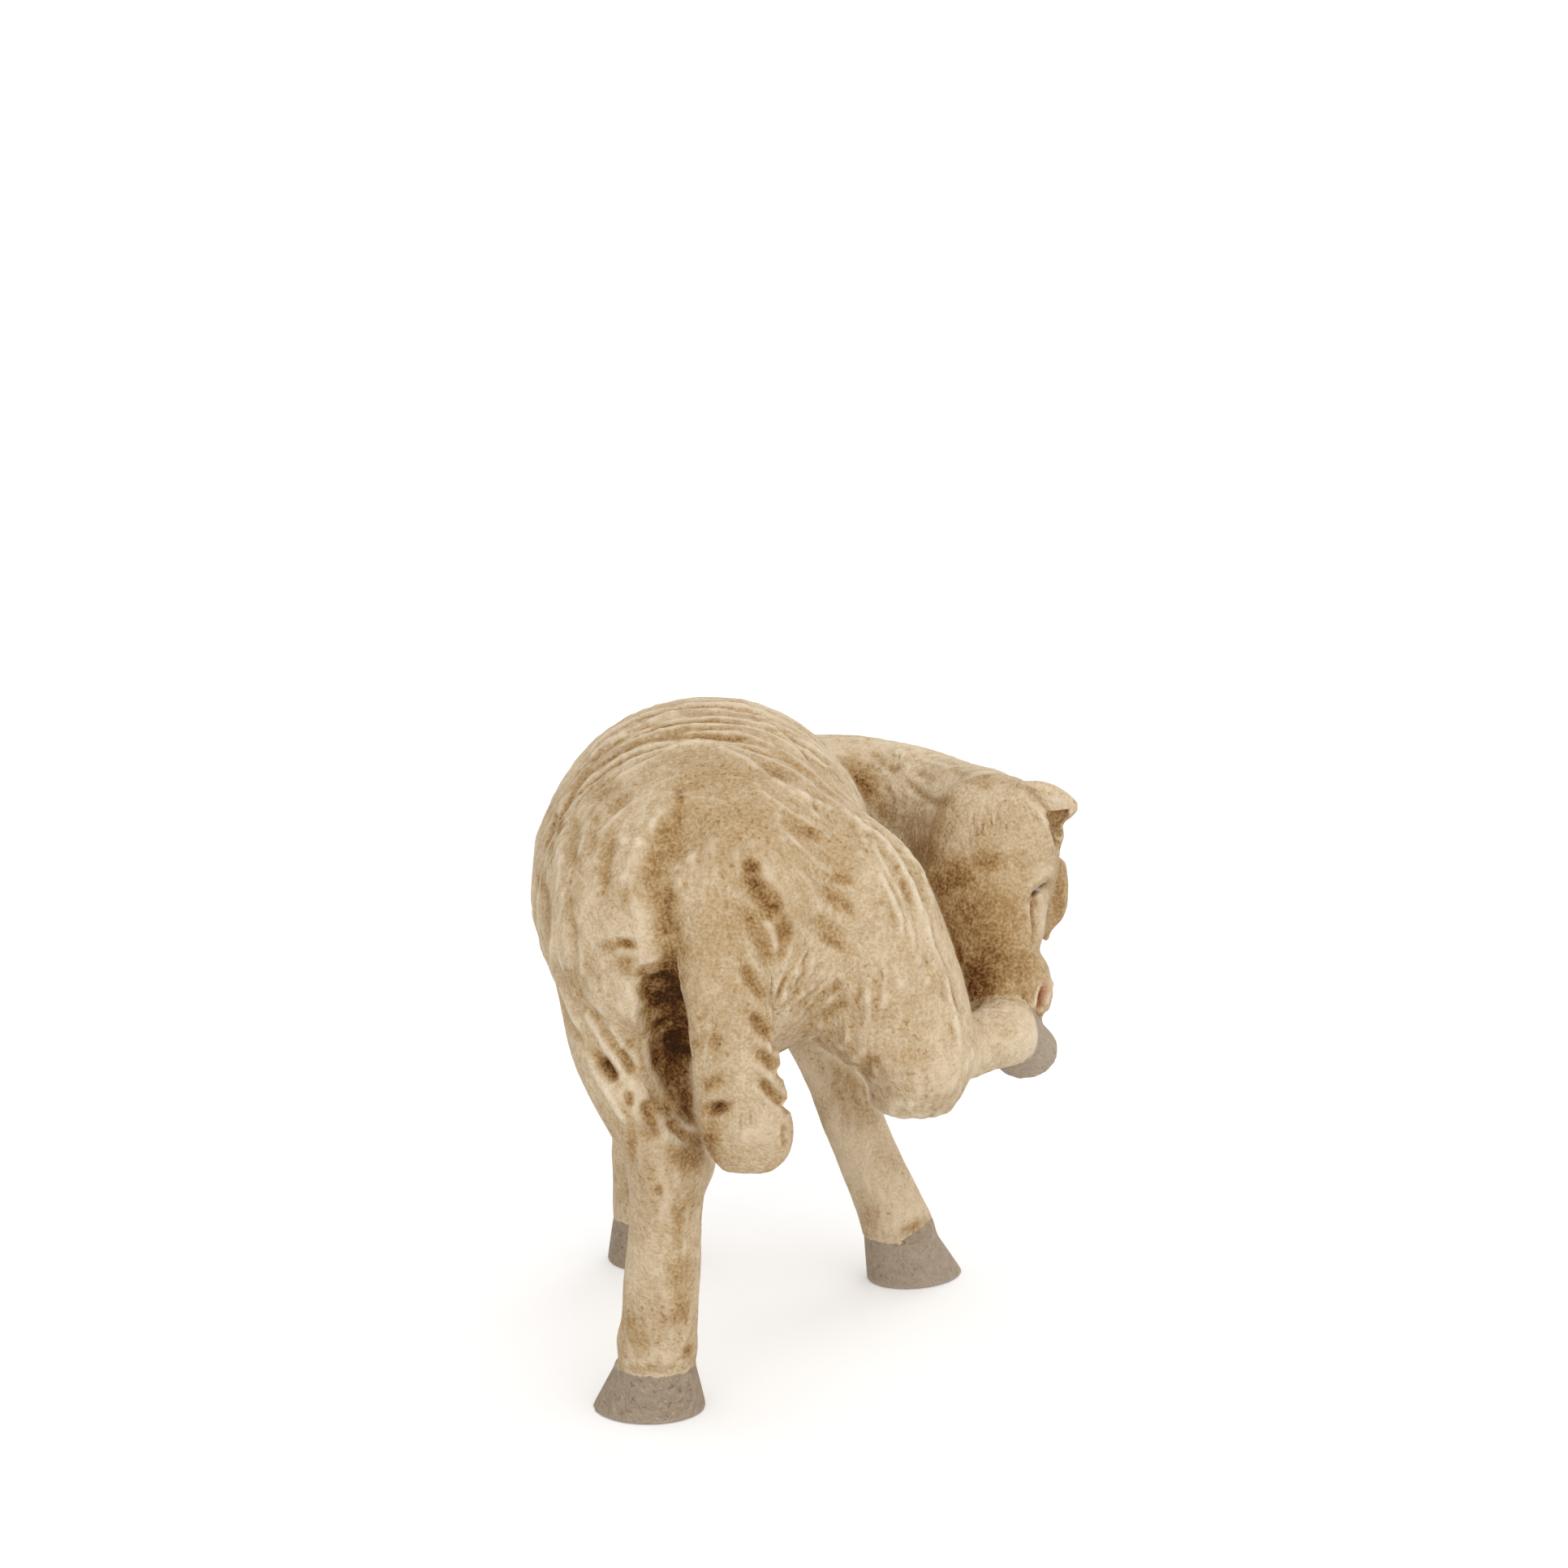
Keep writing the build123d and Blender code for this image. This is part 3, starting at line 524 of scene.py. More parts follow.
# lines read off the photograph: width in pixels, depth in millimetres, stain, then the line in pixels
backGrooves = [
    (5, 0.35, 0.25, [(822, 871), (853, 879), (893, 877), (927, 881), (960, 890)]),
    (5, 0.40, 0.30, [(773, 900), (797, 895), (827, 900), (853, 893), (900, 893), (933, 887)]),
    (6, 0.45, 0.40, [(727, 942), (750, 930), (773, 918), (800, 908), (827, 907), (860, 905), (893, 908),
                     (917, 909), (940, 915)]),
    (6, 0.50, 0.45, [(690, 1023), (693, 1003), (707, 973), (723, 953), (750, 937), (773, 930)]),
    (5, 0.45, 0.30, [(950, 883), (977, 903), (993, 923), (1007, 937), (1027, 953), (1040, 967)]),
    (5, 0.40, 0.20, [(923, 890), (960, 900), (987, 917), (1000, 933), (1020, 957), (1040, 977)]),
    (7, 0.40, 0.25, [(927, 913), (957, 923), (980, 937), (1003, 953), (1030, 975), (1060, 997)]),
    (5, 0.45, 0.40, [(668, 1063), (665, 1083), (672, 1110), (673, 1137), (677, 1170)]),
    (9, 0.40, 0.40, [(755, 1025), (748, 1050), (744, 1070), (745, 1096)]),
    (8, 0.25, 0.30, [(775, 975), (760, 990), (748, 1004)]),
    (8, 0.25, 0.30, [(762, 955), (745, 970), (731, 990)]),
    (8, 0.35, 0.30, [(712, 1000), (705, 1040), (708, 1075)]),
    (7, 0.30, 0.20, [(700, 1095), (702, 1130), (712, 1165)]),
    (6, 0.35, 0.35, [(684, 990), (676, 1030), (676, 1060)]),
]
ridges = [
    (5, 0.40, [(690, 1050), (696, 1010), (712, 975), (735, 948), (770, 933), (815, 922), (860, 916),
               (887, 922), (917, 935), (940, 955), (973, 977), (1013, 993), (1050, 1013), (1085, 1045),
               (1105, 1080)]),
    (4, 0.35, [(730, 930), (760, 912), (790, 902), (830, 890), (880, 885), (920, 888), (955, 897),
               (985, 920), (1010, 945)]),
    (5, 0.30, [(800, 885), (850, 870), (900, 868), (940, 880), (975, 896)]),
    (4.5, 0.48, [(1000, 970), (1040, 1003), (1080, 1033), (1100, 1057), (1117, 1087), (1130, 1117),
                 (1137, 1147)]),
    (4.5, 0.46, [(1010, 958), (1050, 988), (1087, 1017), (1113, 1043), (1133, 1075), (1147, 1108),
                 (1157, 1150)]),
    (4, 0.45, [(1078, 1068), (1093, 1098), (1108, 1130), (1113, 1160)]),
    (4.5, 0.36, [(1062, 1010), (1096, 1046), (1120, 1086), (1138, 1128), (1150, 1172), (1160, 1215)]),
    (4.5, 0.28, [(1052, 1020), (1082, 1056), (1104, 1098), (1120, 1140), (1130, 1180)]),
    (4, 0.36, [(1150, 1160), (1165, 1205), (1176, 1245), (1182, 1290)]),
    (5, 0.40, [(672, 1100), (680, 1160), (690, 1205), (705, 1250), (722, 1285)]),
    (5, 0.35, [(690, 1130), (698, 1180), (708, 1220), (730, 1262), (752, 1300), (764, 1330)]),
    (6, 0.30, [(712, 1150), (722, 1200), (745, 1250), (766, 1285), (785, 1330)]),
    (5, 0.40, [(725, 1300), (742, 1335), (762, 1368), (775, 1392)]),
    (6, 0.30, [(700, 1010), (692, 1050), (690, 1090), (694, 1120)]),
    (7, 0.18, [(946, 1128), (955, 1160), (953, 1200), (951, 1235)]),
]
neckGrooves = [
    (4, 0.40, 0.55, [(1093, 942), (1100, 948), (1110, 944)]),
    (5, -0.45, 0.0, [(1100, 930), (1110, 928), (1117, 934)]),
    (4, 0.30, 0.45, [(1117, 962), (1131, 976), (1146, 986), (1160, 988), (1175, 982)]),
    (4, 0.25, 0.40, [(1165, 944), (1180, 950), (1203, 956), (1228, 962)]),
    (4, 0.25, 0.35, [(1178, 959), (1203, 964), (1225, 972)]),
    (4, -0.30, 0.0, [(1120, 930), (1160, 944), (1200, 954), (1240, 962), (1280, 972)]),
    (4, 0.22, 0.30, [(1085, 962), (1096, 976), (1104, 992)]),
    (4, 0.20, 0.30, [(1127, 948), (1140, 956), (1156, 960)]),
    (3, 0.20, 0.30, [(1240, 964), (1262, 970), (1284, 978)]),
    (5, 0.25, 0.35, [(1070, 925), (1082, 932), (1090, 945)]),
]
rumpGrooves = [
    (14, 0.35, 0.45, [(840, 973), (837, 1007), (817, 1030), (807, 1063), (803, 1090), (820, 1117),
                      (827, 1150), (837, 1187)]),
    (11, 0.35, 0.70, [(917, 1068), (930, 1090), (947, 1113), (957, 1140)]),
    (11, 0.30, 0.38, [(962, 1000), (990, 1023), (1018, 1036)]),
    (10, 0.32, 0.42, [(1010, 1090), (1030, 1107), (1046, 1120)]),
    (10, 0.30, 0.36, [(1000, 1125), (1020, 1142), (1042, 1157)]),
    (9, 0.35, 0.40, [(915, 1110), (930, 1140), (944, 1170), (952, 1200)]),
    (7, 0.30, 0.35, [(962, 1120), (968, 1150), (960, 1190)]),
    (8, 0.22, 0.22, [(1000, 1070), (1030, 1088)]),
    (8, 0.30, 0.15, [(977, 1280), (1010, 1253), (1047, 1233)]),
    (6, 0.35, 0.30, [(1067, 1307), (1060, 1333), (1080, 1360)]),
    (4, 0.20, 0.10, [(1145, 1140), (1160, 1185), (1174, 1227), (1186, 1262)]),
    (2.5, 0.25, 0.70, [(813, 1120), (820, 1116), (824, 1132), (833, 1143), (834, 1160)]),
    (3, 0.25, 0.80, [(786, 1204), (806, 1208), (820, 1203), (838, 1196)]),
]
flankGrooves = [
    (6, 0.35, 0.20, [(700, 1183), (707, 1217), (723, 1243), (750, 1260)]),
    (6, 0.35, 0.15, [(683, 1217), (700, 1262), (722, 1290)]),
    (7, 0.90, 0.90, [(736, 1302), (747, 1317), (760, 1334)]),
    (6, 0.60, 0.50, [(763, 1290), (772, 1305), (781, 1325)]),
    (5, 0.50, 0.55, [(773, 1343), (777, 1364)]),
    (5, 0.35, 0.35, [(772, 1281), (780, 1294)]),
    (8, 0.45, 0.50, [(793, 1355), (800, 1372), (806, 1390)]),
    (7, 0.40, 0.45, [(826, 1375), (832, 1390), (850, 1405)]),
]
tailDents = [
    (9, 0.20, 0.22, [(863, 1246), (872, 1253)]),
    (10, 0.28, 0.26, [(871, 1283), (888, 1290)]),
    (7, 0.35, 0.32, [(862, 1341), (880, 1334), (896, 1329)]),
    (8, 0.70, 0.42, [(915, 1184), (926, 1205), (944, 1232)]),
    (8, 0.75, 0.42, [(922, 1248), (936, 1262), (952, 1280)]),
    (7, 0.75, 0.42, [(932, 1294), (944, 1304), (960, 1318)]),
    (6, 0.75, 0.42, [(934, 1328), (950, 1346), (970, 1364)]),
    (3, 0.30, 0.25, [(966, 1384), (964, 1400), (967, 1414)]),
    (5, 0.25, 0.25, [(849, 1284), (860, 1290)]),
]
grooveStains = ((backGrooves, 0.75), (neckGrooves, 0.5), (rumpGrooves, 0.9), (flankGrooves, 0.9))
lipShares = {"groove": 0.12, "dent": 0.2}
for table, strength in grooveStains:
    for width, depth, shade, path in table:
        carve(path, width, depth, shade * strength, lip=depth * lipShares["groove"])
for width, height, path in ridges:
    carve(path, width, -height)
for width, depth, shade, path in tailDents:
    carve(path, width, depth, shade, lip=depth * lipShares["dent"], mask=rowsOf("tail"))

# fine hair strokes between two guide lines: roots, tips, strokes, length share, width, depth, node
hairStain = 0.12
hairSeed = 11
hairFans = [
    ([(952, 1236), (985, 1262)], [(985, 1150), (1060, 1200)], 46, 0.34, 3.2, 0.10, None),
    ([(870, 1085), (905, 1085)], [(868, 1180), (912, 1180)], 30, 0.2, 2.6, 0.07, None),
    ([(912, 1368), (932, 1366)], [(908, 1400), (932, 1402)], 9, 0.5, 1.8, 0.10, "tail"),
    ([(1196, 1000), (1232, 996)], [(1198, 1036), (1234, 1034)], 22, 0.4, 1.7, 0.10, None),
    ([(1170, 1060), (1260, 1050)], [(1190, 1180), (1262, 1190)], 60, 0.12, 2.0, 0.08, None),
]


def hairFan(roots, tips, strokes, length, width, depth, node):
    rng = np.random.default_rng(hairSeed)
    roots, tips = np.array(roots, dtype=float), np.array(tips, dtype=float)
    mask = rowsOf(node) if node else None
    for k in range(strokes):
        t, u = rng.random(), rng.random() * (1 - length)
        root = roots[0] + (roots[1] - roots[0]) * t
        tip = tips[0] + (tips[1] - tips[0]) * t
        stroke = [root + (tip - root) * u, root + (tip - root) * (u + length)]
        carve(stroke, width, depth, hairStain, mask=mask)


for row in hairFans:
    hairFan(*row)


def areaField(outline, soft, mask):
    ring = np.array(outline, dtype=float)
    inside = np.zeros(count, dtype=bool)
    edge = np.full(count, 1e9)
    for a, b in zip(ring, np.roll(ring, -1, axis=0)):
        cross = (a[1] > pixel[:, 1]) != (b[1] > pixel[:, 1])
        at = a[0] + (pixel[:, 1] - a[1]) * (b[0] - a[0]) / (b[1] - a[1] + 1e-9)
        inside ^= cross & (pixel[:, 0] < at)
        t = np.clip(((pixel - a) @ (b - a)) / ((b - a) @ (b - a)), 0, 1)
        edge = np.minimum(edge, np.linalg.norm(pixel - a - t[:, None] * (b - a), axis=1))
    return smoothStep(0.5 + np.where(inside, edge, -edge) / soft) * softSeen * mask


# the deep dark hollow between the tail and the left thigh, filled with brown wash and painted shade; dark:
# painted shade patches: spot, spread, amount, turn, depth
hollow = {"outline": [(788, 1200), (842, 1172), (846, 1233), (853, 1283), (858, 1337), (868, 1384),
                      (852, 1380), (827, 1350), (806, 1317), (798, 1262), (787, 1222)],
          "soft": 22, "depth": 0.9, "stain": 0.95, "rag": 1.6, "even": 0.85, "uneven": 0.5,
          "range": (0.3, 1.15),
          "dark": [(830, 1294, 17, 40, 1.25, 0, 0.9), (826, 1235, 18, 50, 1.12, 0, 0.3),
                   (842, 1345, 12, 34, 0.75, -25, 0)]}
notTail = ~rowsOf("tail")
ragged = noiseAt(place / (hollow["rag"] * mm))
hollowField = areaField(hollow["outline"], hollow["soft"], notTail)
hollowField = hollowField * np.clip(hollow["even"] + hollow["uneven"] * ragged, *hollow["range"])
relief -= hollow["depth"] * hollowField
washAndShade = np.maximum(washAndShade, hollow["stain"] * hollowField)
# painted shade deepening the hollow
for row in hollow["dark"]:
    stain(*row, mask=notTail)

# face: brow, eye slit, cheek edge, fold beside it, nostril, ear; the far half mirrors the near one
headMask = rowsOf("head", "right_ear", "neck")
face = {"nose": (0.053, -0.550, -0.833), "brow": (1.0, -0.05, 0.08), "middle": 0.6, "facing": 0.1,
        "taper": 0.2, "mirrored": 8, "eyeShade": (1276, 1110, 4, 10, 0.50)}
earCup = {"outline": [(1293, 1001), (1317, 998), (1315, 1018), (1306, 1032), (1299, 1020)], "soft": 5,
          "depth": 0.55, "stain": 0.52}


def mirrorFace():
    across = np.cross(face["nose"], face["brow"])
    across = across / np.linalg.norm(across)
    cad = np.array([v.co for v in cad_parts["head"].data.vertices]) @ across
    middle = (cad.min() + cad.max()) / 2
    off = place @ across - middle
    there = place - 2 * off[:, None] * across
    turned = normal - 2 * (normal @ across)[:, None] * across
    facing = facingCamera(there, turned)
    far = smoothStep(-off / (face["middle"] * mm))
    return toPixels(there), rowsOf("head") * far * smoothStep((facing + face["facing"]) / face["facing"])


faceNear = (pixel, softSeen)
faceFar = mirrorFace()
faceLines = [
    (3.0, 0.90, 0.75, [(1272, 1104), (1281, 1097), (1291, 1088)]),
    (7.0, -0.55, 0.0, [(1262, 1097), (1279, 1081), (1296, 1063)]),
    (4.0, 0.30, 0.20, [(1283, 1102), (1288, 1097), (1293, 1091)]),
    (3.2, 0.75, 0.50, [(1273, 1106), (1272, 1124), (1274, 1140), (1275, 1154)]),
    (6.0, -0.35, 0.0, [(1265, 1108), (1266, 1140), (1269, 1158)]),
    (3.6, 1.00, 0.55, [(1288, 1214), (1284, 1228), (1279, 1246)]),
    (3.5, -0.45, 0.0, [(1293, 1203), (1292, 1222), (1286, 1242)]),
    (3.5, -0.35, 0.0, [(1280, 1212), (1276, 1228), (1272, 1244)]),
    (3.2, 0.30, 0.20, [(1264, 974), (1279, 984), (1290, 998)]),
    (3.2, 0.60, 0.55, [(1289, 997), (1296, 1012), (1301, 1030), (1304, 1046)]),
    (5.0, -0.35, 0.0, [(1262, 986), (1278, 998), (1287, 1014), (1293, 1036), (1297, 1054)]),
    (3.0, 0.45, 0.55, [(1194, 1254), (1214, 1247), (1234, 1243), (1256, 1246), (1274, 1253)]),
]
for width, depth, shade, path in faceLines:
    carve(path, width, depth, shade, taper=face["taper"], mask=headMask, side=faceNear)
for width, depth, shade, path in faceLines[:face["mirrored"]]:
    carve(path, width, depth, shade, taper=face["taper"], side=faceFar)
earInside = areaField(earCup["outline"], earCup["soft"], headMask)
relief -= earCup["depth"] * earInside
washAndShade = np.maximum(washAndShade, earCup["stain"] * earInside)
stain(*face["eyeShade"], mask=headMask, side=faceNear)
stain(*face["eyeShade"], side=faceFar)

# deep dark pits: spot, spread, amount, turn, depth, node
pits = [(884, 1366, 14, 8, 0.98, -8, 1.0, "tail"), (770, 1163, 12, 6, 0.85, 10, 0.5, None),
        (748, 1315, 7, 17, 0.92, -38, 0.6, None), (926, 1070, 12, 12, 0.70, 0, 0.4, None)]
for *row, node in pits:
    stain(*row, mask=rowsOf(node) if node else None)
print("stage: grooves carved")

sanding = {"weight": 0.5, "rounds": 1}
place = place + normal * (relief * mm)[:, None]
place = relax(place, np.full(count, sanding["weight"]), sanding["rounds"])
normal = pointNormals(place)

# paint: brown stain that lies in the hollows, pale dust and painted highlight on the ridges and crowns;
# each lie is start, span and amount
paintLie = {"fineRounds": 10, "broadRounds": 60, "patch": 7.5, "finer": 2.3, "finerShare": 0.5,
            "pit": (0.010, 0.10, 0.40), "dip": (0.10, 0.7, 0.36), "ridge": (0.010, 0.08, 0.9),
            "crown": (0.05, 0.6, 0.2), "hiddenPatch": (-0.02, 0.7, 0.27), "hiddenPit": (0.008, 0.08, 0.55),
            "hiddenRounds": 30, "baseRounds": 60, "basePatch": 0.06, "calm": 0.5, "calmPit": (0.4, 0.6),
            "calmNodes": ["tail", "neck", "left_hind_leg", "right_fore_leg", "left_fore_leg"],
            "dustOff": 1.5, "paleLift": 0.7}
baseWash = {"torso": 0.06, "neck": 0.0, "head": 0.10, "left_ear": 0.22, "right_ear": 0.02, "tail": 0.12,
            "left_fore_leg": 0.08, "right_fore_leg": 0.0, "left_hind_leg": 0.10, "right_hind_thigh": 0.08,
            "right_hind_shank": 0.06}


def lies(values, start, span, amount):
    return smoothStep((values - start) / span) * amount


def patchNoise(p):
    return noise.noise(p) + paintLie["finerShare"] * noise.noise(p * paintLie["finer"])


fine = relax(place, np.ones(count), paintLie["fineRounds"])
broad = relax(fine, np.ones(count), paintLie["broadRounds"])
pit = ((fine - place) * normal).sum(axis=1) / mm
dip = ((broad - place) * normal).sum(axis=1) / mm
patch = np.array([patchNoise(Vector(p)) for p in place / (paintLie["patch"] * mm)])
calm = np.where(rowsOf(*paintLie["calmNodes"]), paintLie["calm"], 1.0)
calmPit = paintLie["calmPit"][0] + paintLie["calmPit"][1] * calm
washAndShade = np.maximum(washAndShade, lies(pit, *paintLie["pit"]) * calmPit)
washAndShade = np.maximum(washAndShade, lies(dip, *paintLie["dip"]) * calm)
# paler on ridges and crowns: pale dust together with painted highlight
dustAndHighlight = lies(-pit, *paintLie["ridge"]) + lies(-dip, *paintLie["crown"])
base = evened(sum(np.where(rowsOf(n), v, 0.0) for n, v in baseWash.items()), paintLie["baseRounds"])
base = base + paintLie["basePatch"] * patch
hidden = evened(1 - softSeen, paintLie["hiddenRounds"])
washAndShade = np.maximum(washAndShade, hidden * lies(patch, *paintLie["hiddenPatch"]))
washAndShade = np.maximum(washAndShade, hidden * lies(pit, *paintLie["hiddenPit"]))

# stain patches, with painted shade among them in and round the hollow between tail and thigh and at the top
# of the right fore leg: centre, half width and height in pixels, amount, turn in degrees
bodyStainsAndShade = [
    (890, 1000, 90, 100, 0.21, 0), (1000, 1070, 80, 90, 0.15, 0), (880, 1150, 44, 90, 0.12, 0),
    (838, 982, 9, 18, 0.46, 0), (833, 1009, 13, 26, 0.46, 0), (826, 1041, 18, 30, 0.48, 15),
    (804, 1077, 24, 26, 0.41, 0), (776, 1100, 16, 16, 0.26, 0), (822, 1108, 14, 24, 0.55, 0),
    (821, 1141, 14, 22, 0.66, 0), (826, 1172, 18, 26, 0.60, 0), (815, 1208, 26, 9, 0.85, -8),
    (754, 1167, 12, 8, 0.40, 10), (772, 1186, 18, 15, 0.42, 40),
    (790, 1200, 14, 14, 0.45, 0), (745, 973, 24, 14, 0.28, -20), (751, 1050, 8, 26, 0.38, 5),
    (745, 1084, 7, 14, 0.34, 0), (731, 1032, 7, 16, 0.22, 10), (770, 988, 12, 14, 0.22, 30),
    (733, 1009, 8, 12, 0.22, 0), (691, 1016, 5, 12, 0.60, 10), (774, 923, 16, 5, 0.50, -25),
    (751, 934, 18, 5, 0.50, -28), (904, 908, 20, 4, 0.50, 3), (867, 893, 24, 3, 0.32, 0),
    (954, 955, 26, 10, 0.48, 15), (942, 943, 12, 5, 0.30, 10), (935, 1009, 18, 14, 0.22, 0),
    (999, 1025, 20, 8, 0.54, 25), (985, 1014, 12, 7, 0.34, 25), (1017, 1057, 18, 9, 0.28, 25),
    (1035, 1082, 17, 8, 0.52, 20), (1031, 1109, 24, 8, 0.54, 28), (1049, 1123, 12, 7, 0.30, 28),
    (1026, 1159, 24, 8, 0.52, 28), (1004, 986, 14, 4, 0.32, 20), (926, 1068, 11, 11, 0.85, 0),
    (935, 1091, 17, 12, 0.78, 40), (954, 1116, 15, 18, 0.68, 0), (966, 1146, 15, 22, 0.55, 0),
    (935, 1145, 8, 28, 0.34, -20), (772, 1303, 5, 16, 0.50, -25),
    (775, 1355, 4, 10, 0.55, -10), (800, 1371, 18, 26, 0.45, 0), (819, 1367, 16, 16, 0.50, 0),
    (804, 1390, 14, 12, 0.50, 0), (831, 1380, 16, 12, 0.52, 0), (858, 1409, 18, 12, 0.52, 20),
    (850, 1424, 28, 18, 0.58, 0), (874, 1408, 12, 18, 0.55, 0), (792, 1263, 12, 56, 0.30, 0),
    (723, 1194, 14, 22, 0.16, 0), (811, 1465, 6, 5, 0.50, 0), (835, 1500, 9, 26, 0.28, 0),
    (850, 1480, 9, 14, 0.26, 0), (835, 1570, 14, 18, 0.34, 0), (842, 1555, 9, 10, 0.38, 0),
    (840, 1612, 9, 16, 0.38, 0), (825, 1625, 12, 12, 0.20, 0), (790, 1650, 15, 18, 0.20, 0),
    (777, 1628, 10, 18, 0.16, 0), (847, 1665, 5, 9, 0.65, 15), (805, 1686, 44, 6, 0.20, 0),
    (795, 1440, 14, 30, 0.12, 0), (1050, 1340, 26, 56, 0.30, -22), (1075, 1312, 18, 16, 0.34, 0),
    (1079, 1306, 7, 7, 0.50, 0), (1070, 1326, 7, 9, 0.48, 0), (1078, 1250, 22, 20, 0.16, 0),
    (1110, 1300, 26, 20, 0.16, 0), (1090, 1425, 20, 30, 0.14, -15), (1072, 1500, 14, 18, 0.22, 0),
    (1125, 1512, 22, 7, 0.32, -25), (1010, 1385, 10, 30, 0.30, -15), (883, 1012, 2.2, 2.2, 1.0, 0),
    (779, 1410, 6, 30, 0.25, 0),
]
# stains on the neck and head, with painted shade among them at the fold where the neck meets the body and
# on the throat behind the thigh
headStainsAndShade = [
    (1200, 1150, 62, 74, 0.46, 0), (1205, 1205, 40, 40, 0.78, 0), (1165, 1150, 14, 50, 0.80, -18),
    (1057, 967, 22, 32, 0.66, -30), (1085, 1000, 30, 20, 0.34, 30), (1130, 1014, 40, 22, 0.22, 20),
    (1178, 1080, 26, 24, 0.62, 0), (1160, 1095, 16, 24, 0.55, -20), (1178, 1180, 16, 50, 0.82, -12),
    (1220, 1180, 44, 50, 0.62, 0), (1200, 1130, 36, 36, 0.52, 0), (1215, 1062, 26, 14, 0.45, 0),
    (1190, 1225, 16, 26, 0.85, 0), (1215, 1222, 18, 16, 0.70, 0), (1256, 1190, 22, 34, 0.42, 0),
    (1250, 1140, 20, 30, 0.36, 0), (1262, 1225, 8, 14, 0.40, 0), (1306, 1014, 8, 13, 0.48, 20),
    (1152, 989, 24, 7, 0.36, 0), (1140, 1050, 20, 30, 0.42, -20), (1290, 1086, 6, 6, 0.30, 0),
    (1215, 1150, 60, 66, 0.45, 0), (1305, 1110, 7, 40, 0.34, 0), (1278, 1250, 6, 4, 0.70, 10),
]
# painted highlights: pale patches on the nose ridge, by the nostril, on the brow, on the ear top, below the
# head and on the tail tip; spot, spread, amount
paintedHighlightSpots = [(1286, 1132, 7, 34, 0.65), (1293, 1212, 4, 14, 0.5), (1284, 1074, 14, 8, 0.35),
             (1300, 986, 20, 8, 0.5), (1195, 1300, 12, 30, 0.2), (934, 1396, 28, 20, 0.42)]
onHead = rowsOf("neck", "head", "right_ear", "left_ear")
for row in bodyStainsAndShade:
    stain(*row, mask=~onHead)
for row in headStainsAndShade:
    stain(*row, mask=onHead, side=faceNear)
dustAndHighlight *= 1 - np.clip(washAndShade * paintLie["dustOff"], 0, 1)
washAndShade = washAndShade + np.clip(base, 0, 1) * (1 - np.clip(washAndShade, 0, 1))
for x, y, wide, high, amount in paintedHighlightSpots:
    fall = amount * spotField(x, y, wide, high, 0, faceNear, ~rowsOf("left_ear"))
    dustAndHighlight = np.maximum(dustAndHighlight, fall)
    washAndShade *= 1 - paintLie["paleLift"] * fall

# dabs on both halves of the face: channel, spot, spread, amount, turn; the third is a painted highlight in
# the eye
faceDabs = [(0, 1284, 1227, 3.5, 16, 0.95, 15), (1, 1281, 1097, 12, 2.4, 0.9, -40),
            (2, 1284, 1096, 2.5, 1.5, 0.8, -40)]
# the third channel is a painted highlight on the eye
tint = np.zeros((count, 3))  # pink of the nostril, black of the eye, glint
for channel, x, y, wide, high, amount, turn in faceDabs:
    for side in (faceNear, faceFar):
        fall = amount * spotField(x, y, wide, high, turn, side, headMask)
        tint[:, channel] = np.maximum(tint[:, channel], fall)

# hooves: paint edge in millimetres, paint that climbs the right fore leg, dust kept and added; the amount
# added on the right hooves is a painted highlight
hoofValues = {"edge": 1.2, "climbSoft": 5, "dustKept": 0.3,
              "climb": [(1112, 1527), (1128, 1519), (1149, 1500), (1172, 1525), (1150, 1545), (1112, 1540)],
              "dustAndHighlight": {"left_fore_hoof": 0.0, "left_hind_hoof": 0.0, "right_fore_hoof": 0.24,
                       "right_hind_hoof": 0.28}}
hoofEdge = np.minimum.reduce([away[allNodes.index(n)] for n in hoofNodes])
legEdge = np.minimum.reduce([away[allNodes.index(n)] for n in fleeceNodes])
hoofPaint = np.clip(0.5 + (legEdge - hoofEdge) / (hoofValues["edge"] * mm), 0, 1)
climb = areaField(hoofValues["climb"], hoofValues["climbSoft"], rowsOf("right_fore_leg"))
hoofPaint = np.maximum(hoofPaint, climb)
for name, amount in hoofValues["dustAndHighlight"].items():
    dustAndHighlight = np.where(rowsOf(name), hoofValues["dustKept"] * dustAndHighlight + amount, dustAndHighlight)
print("stage: stains placed")

# matt hand paint: cream with a brown wash that also carries painted shade, pale dust with painted
# highlight, hooves grey brown
paintValues = {"levels": [(0.0, (0.70, 0.565, 0.395, 1)), (0.08, (0.63, 0.49, 0.32, 1)),
                          (0.17, (0.52, 0.385, 0.232, 1)), (0.33, (0.415, 0.268, 0.122, 1)),
                          (0.58, (0.268, 0.144, 0.051, 1)), (0.80, (0.138, 0.054, 0.011, 1)),
                          (1.0, (0.05, 0.018, 0.004, 1))], "fullLevel": 1.2,
               "dustAndHighlight": (0.76, 0.635, 0.47, 1), "hoof": (0.365, 0.285, 0.205, 1),
               "hoofDark": (0.30, 0.23, 0.16, 1), "hoofPit": (0.16, 0.11, 0.07, 1),
               "hoofPale": (0.52, 0.43, 0.34, 1), "pink": (0.40, 0.13, 0.075, 1),
               "eye": (0.03, 0.022, 0.018, 1), "paintedGlint": (0.72, 0.70, 0.66, 1),
               "roughness": 0.68, "shine": 0.15, "bump": 0.9, "bumpDepth": 0.0006, "grainBump": 0.5,
               "hairBump": 0.45}
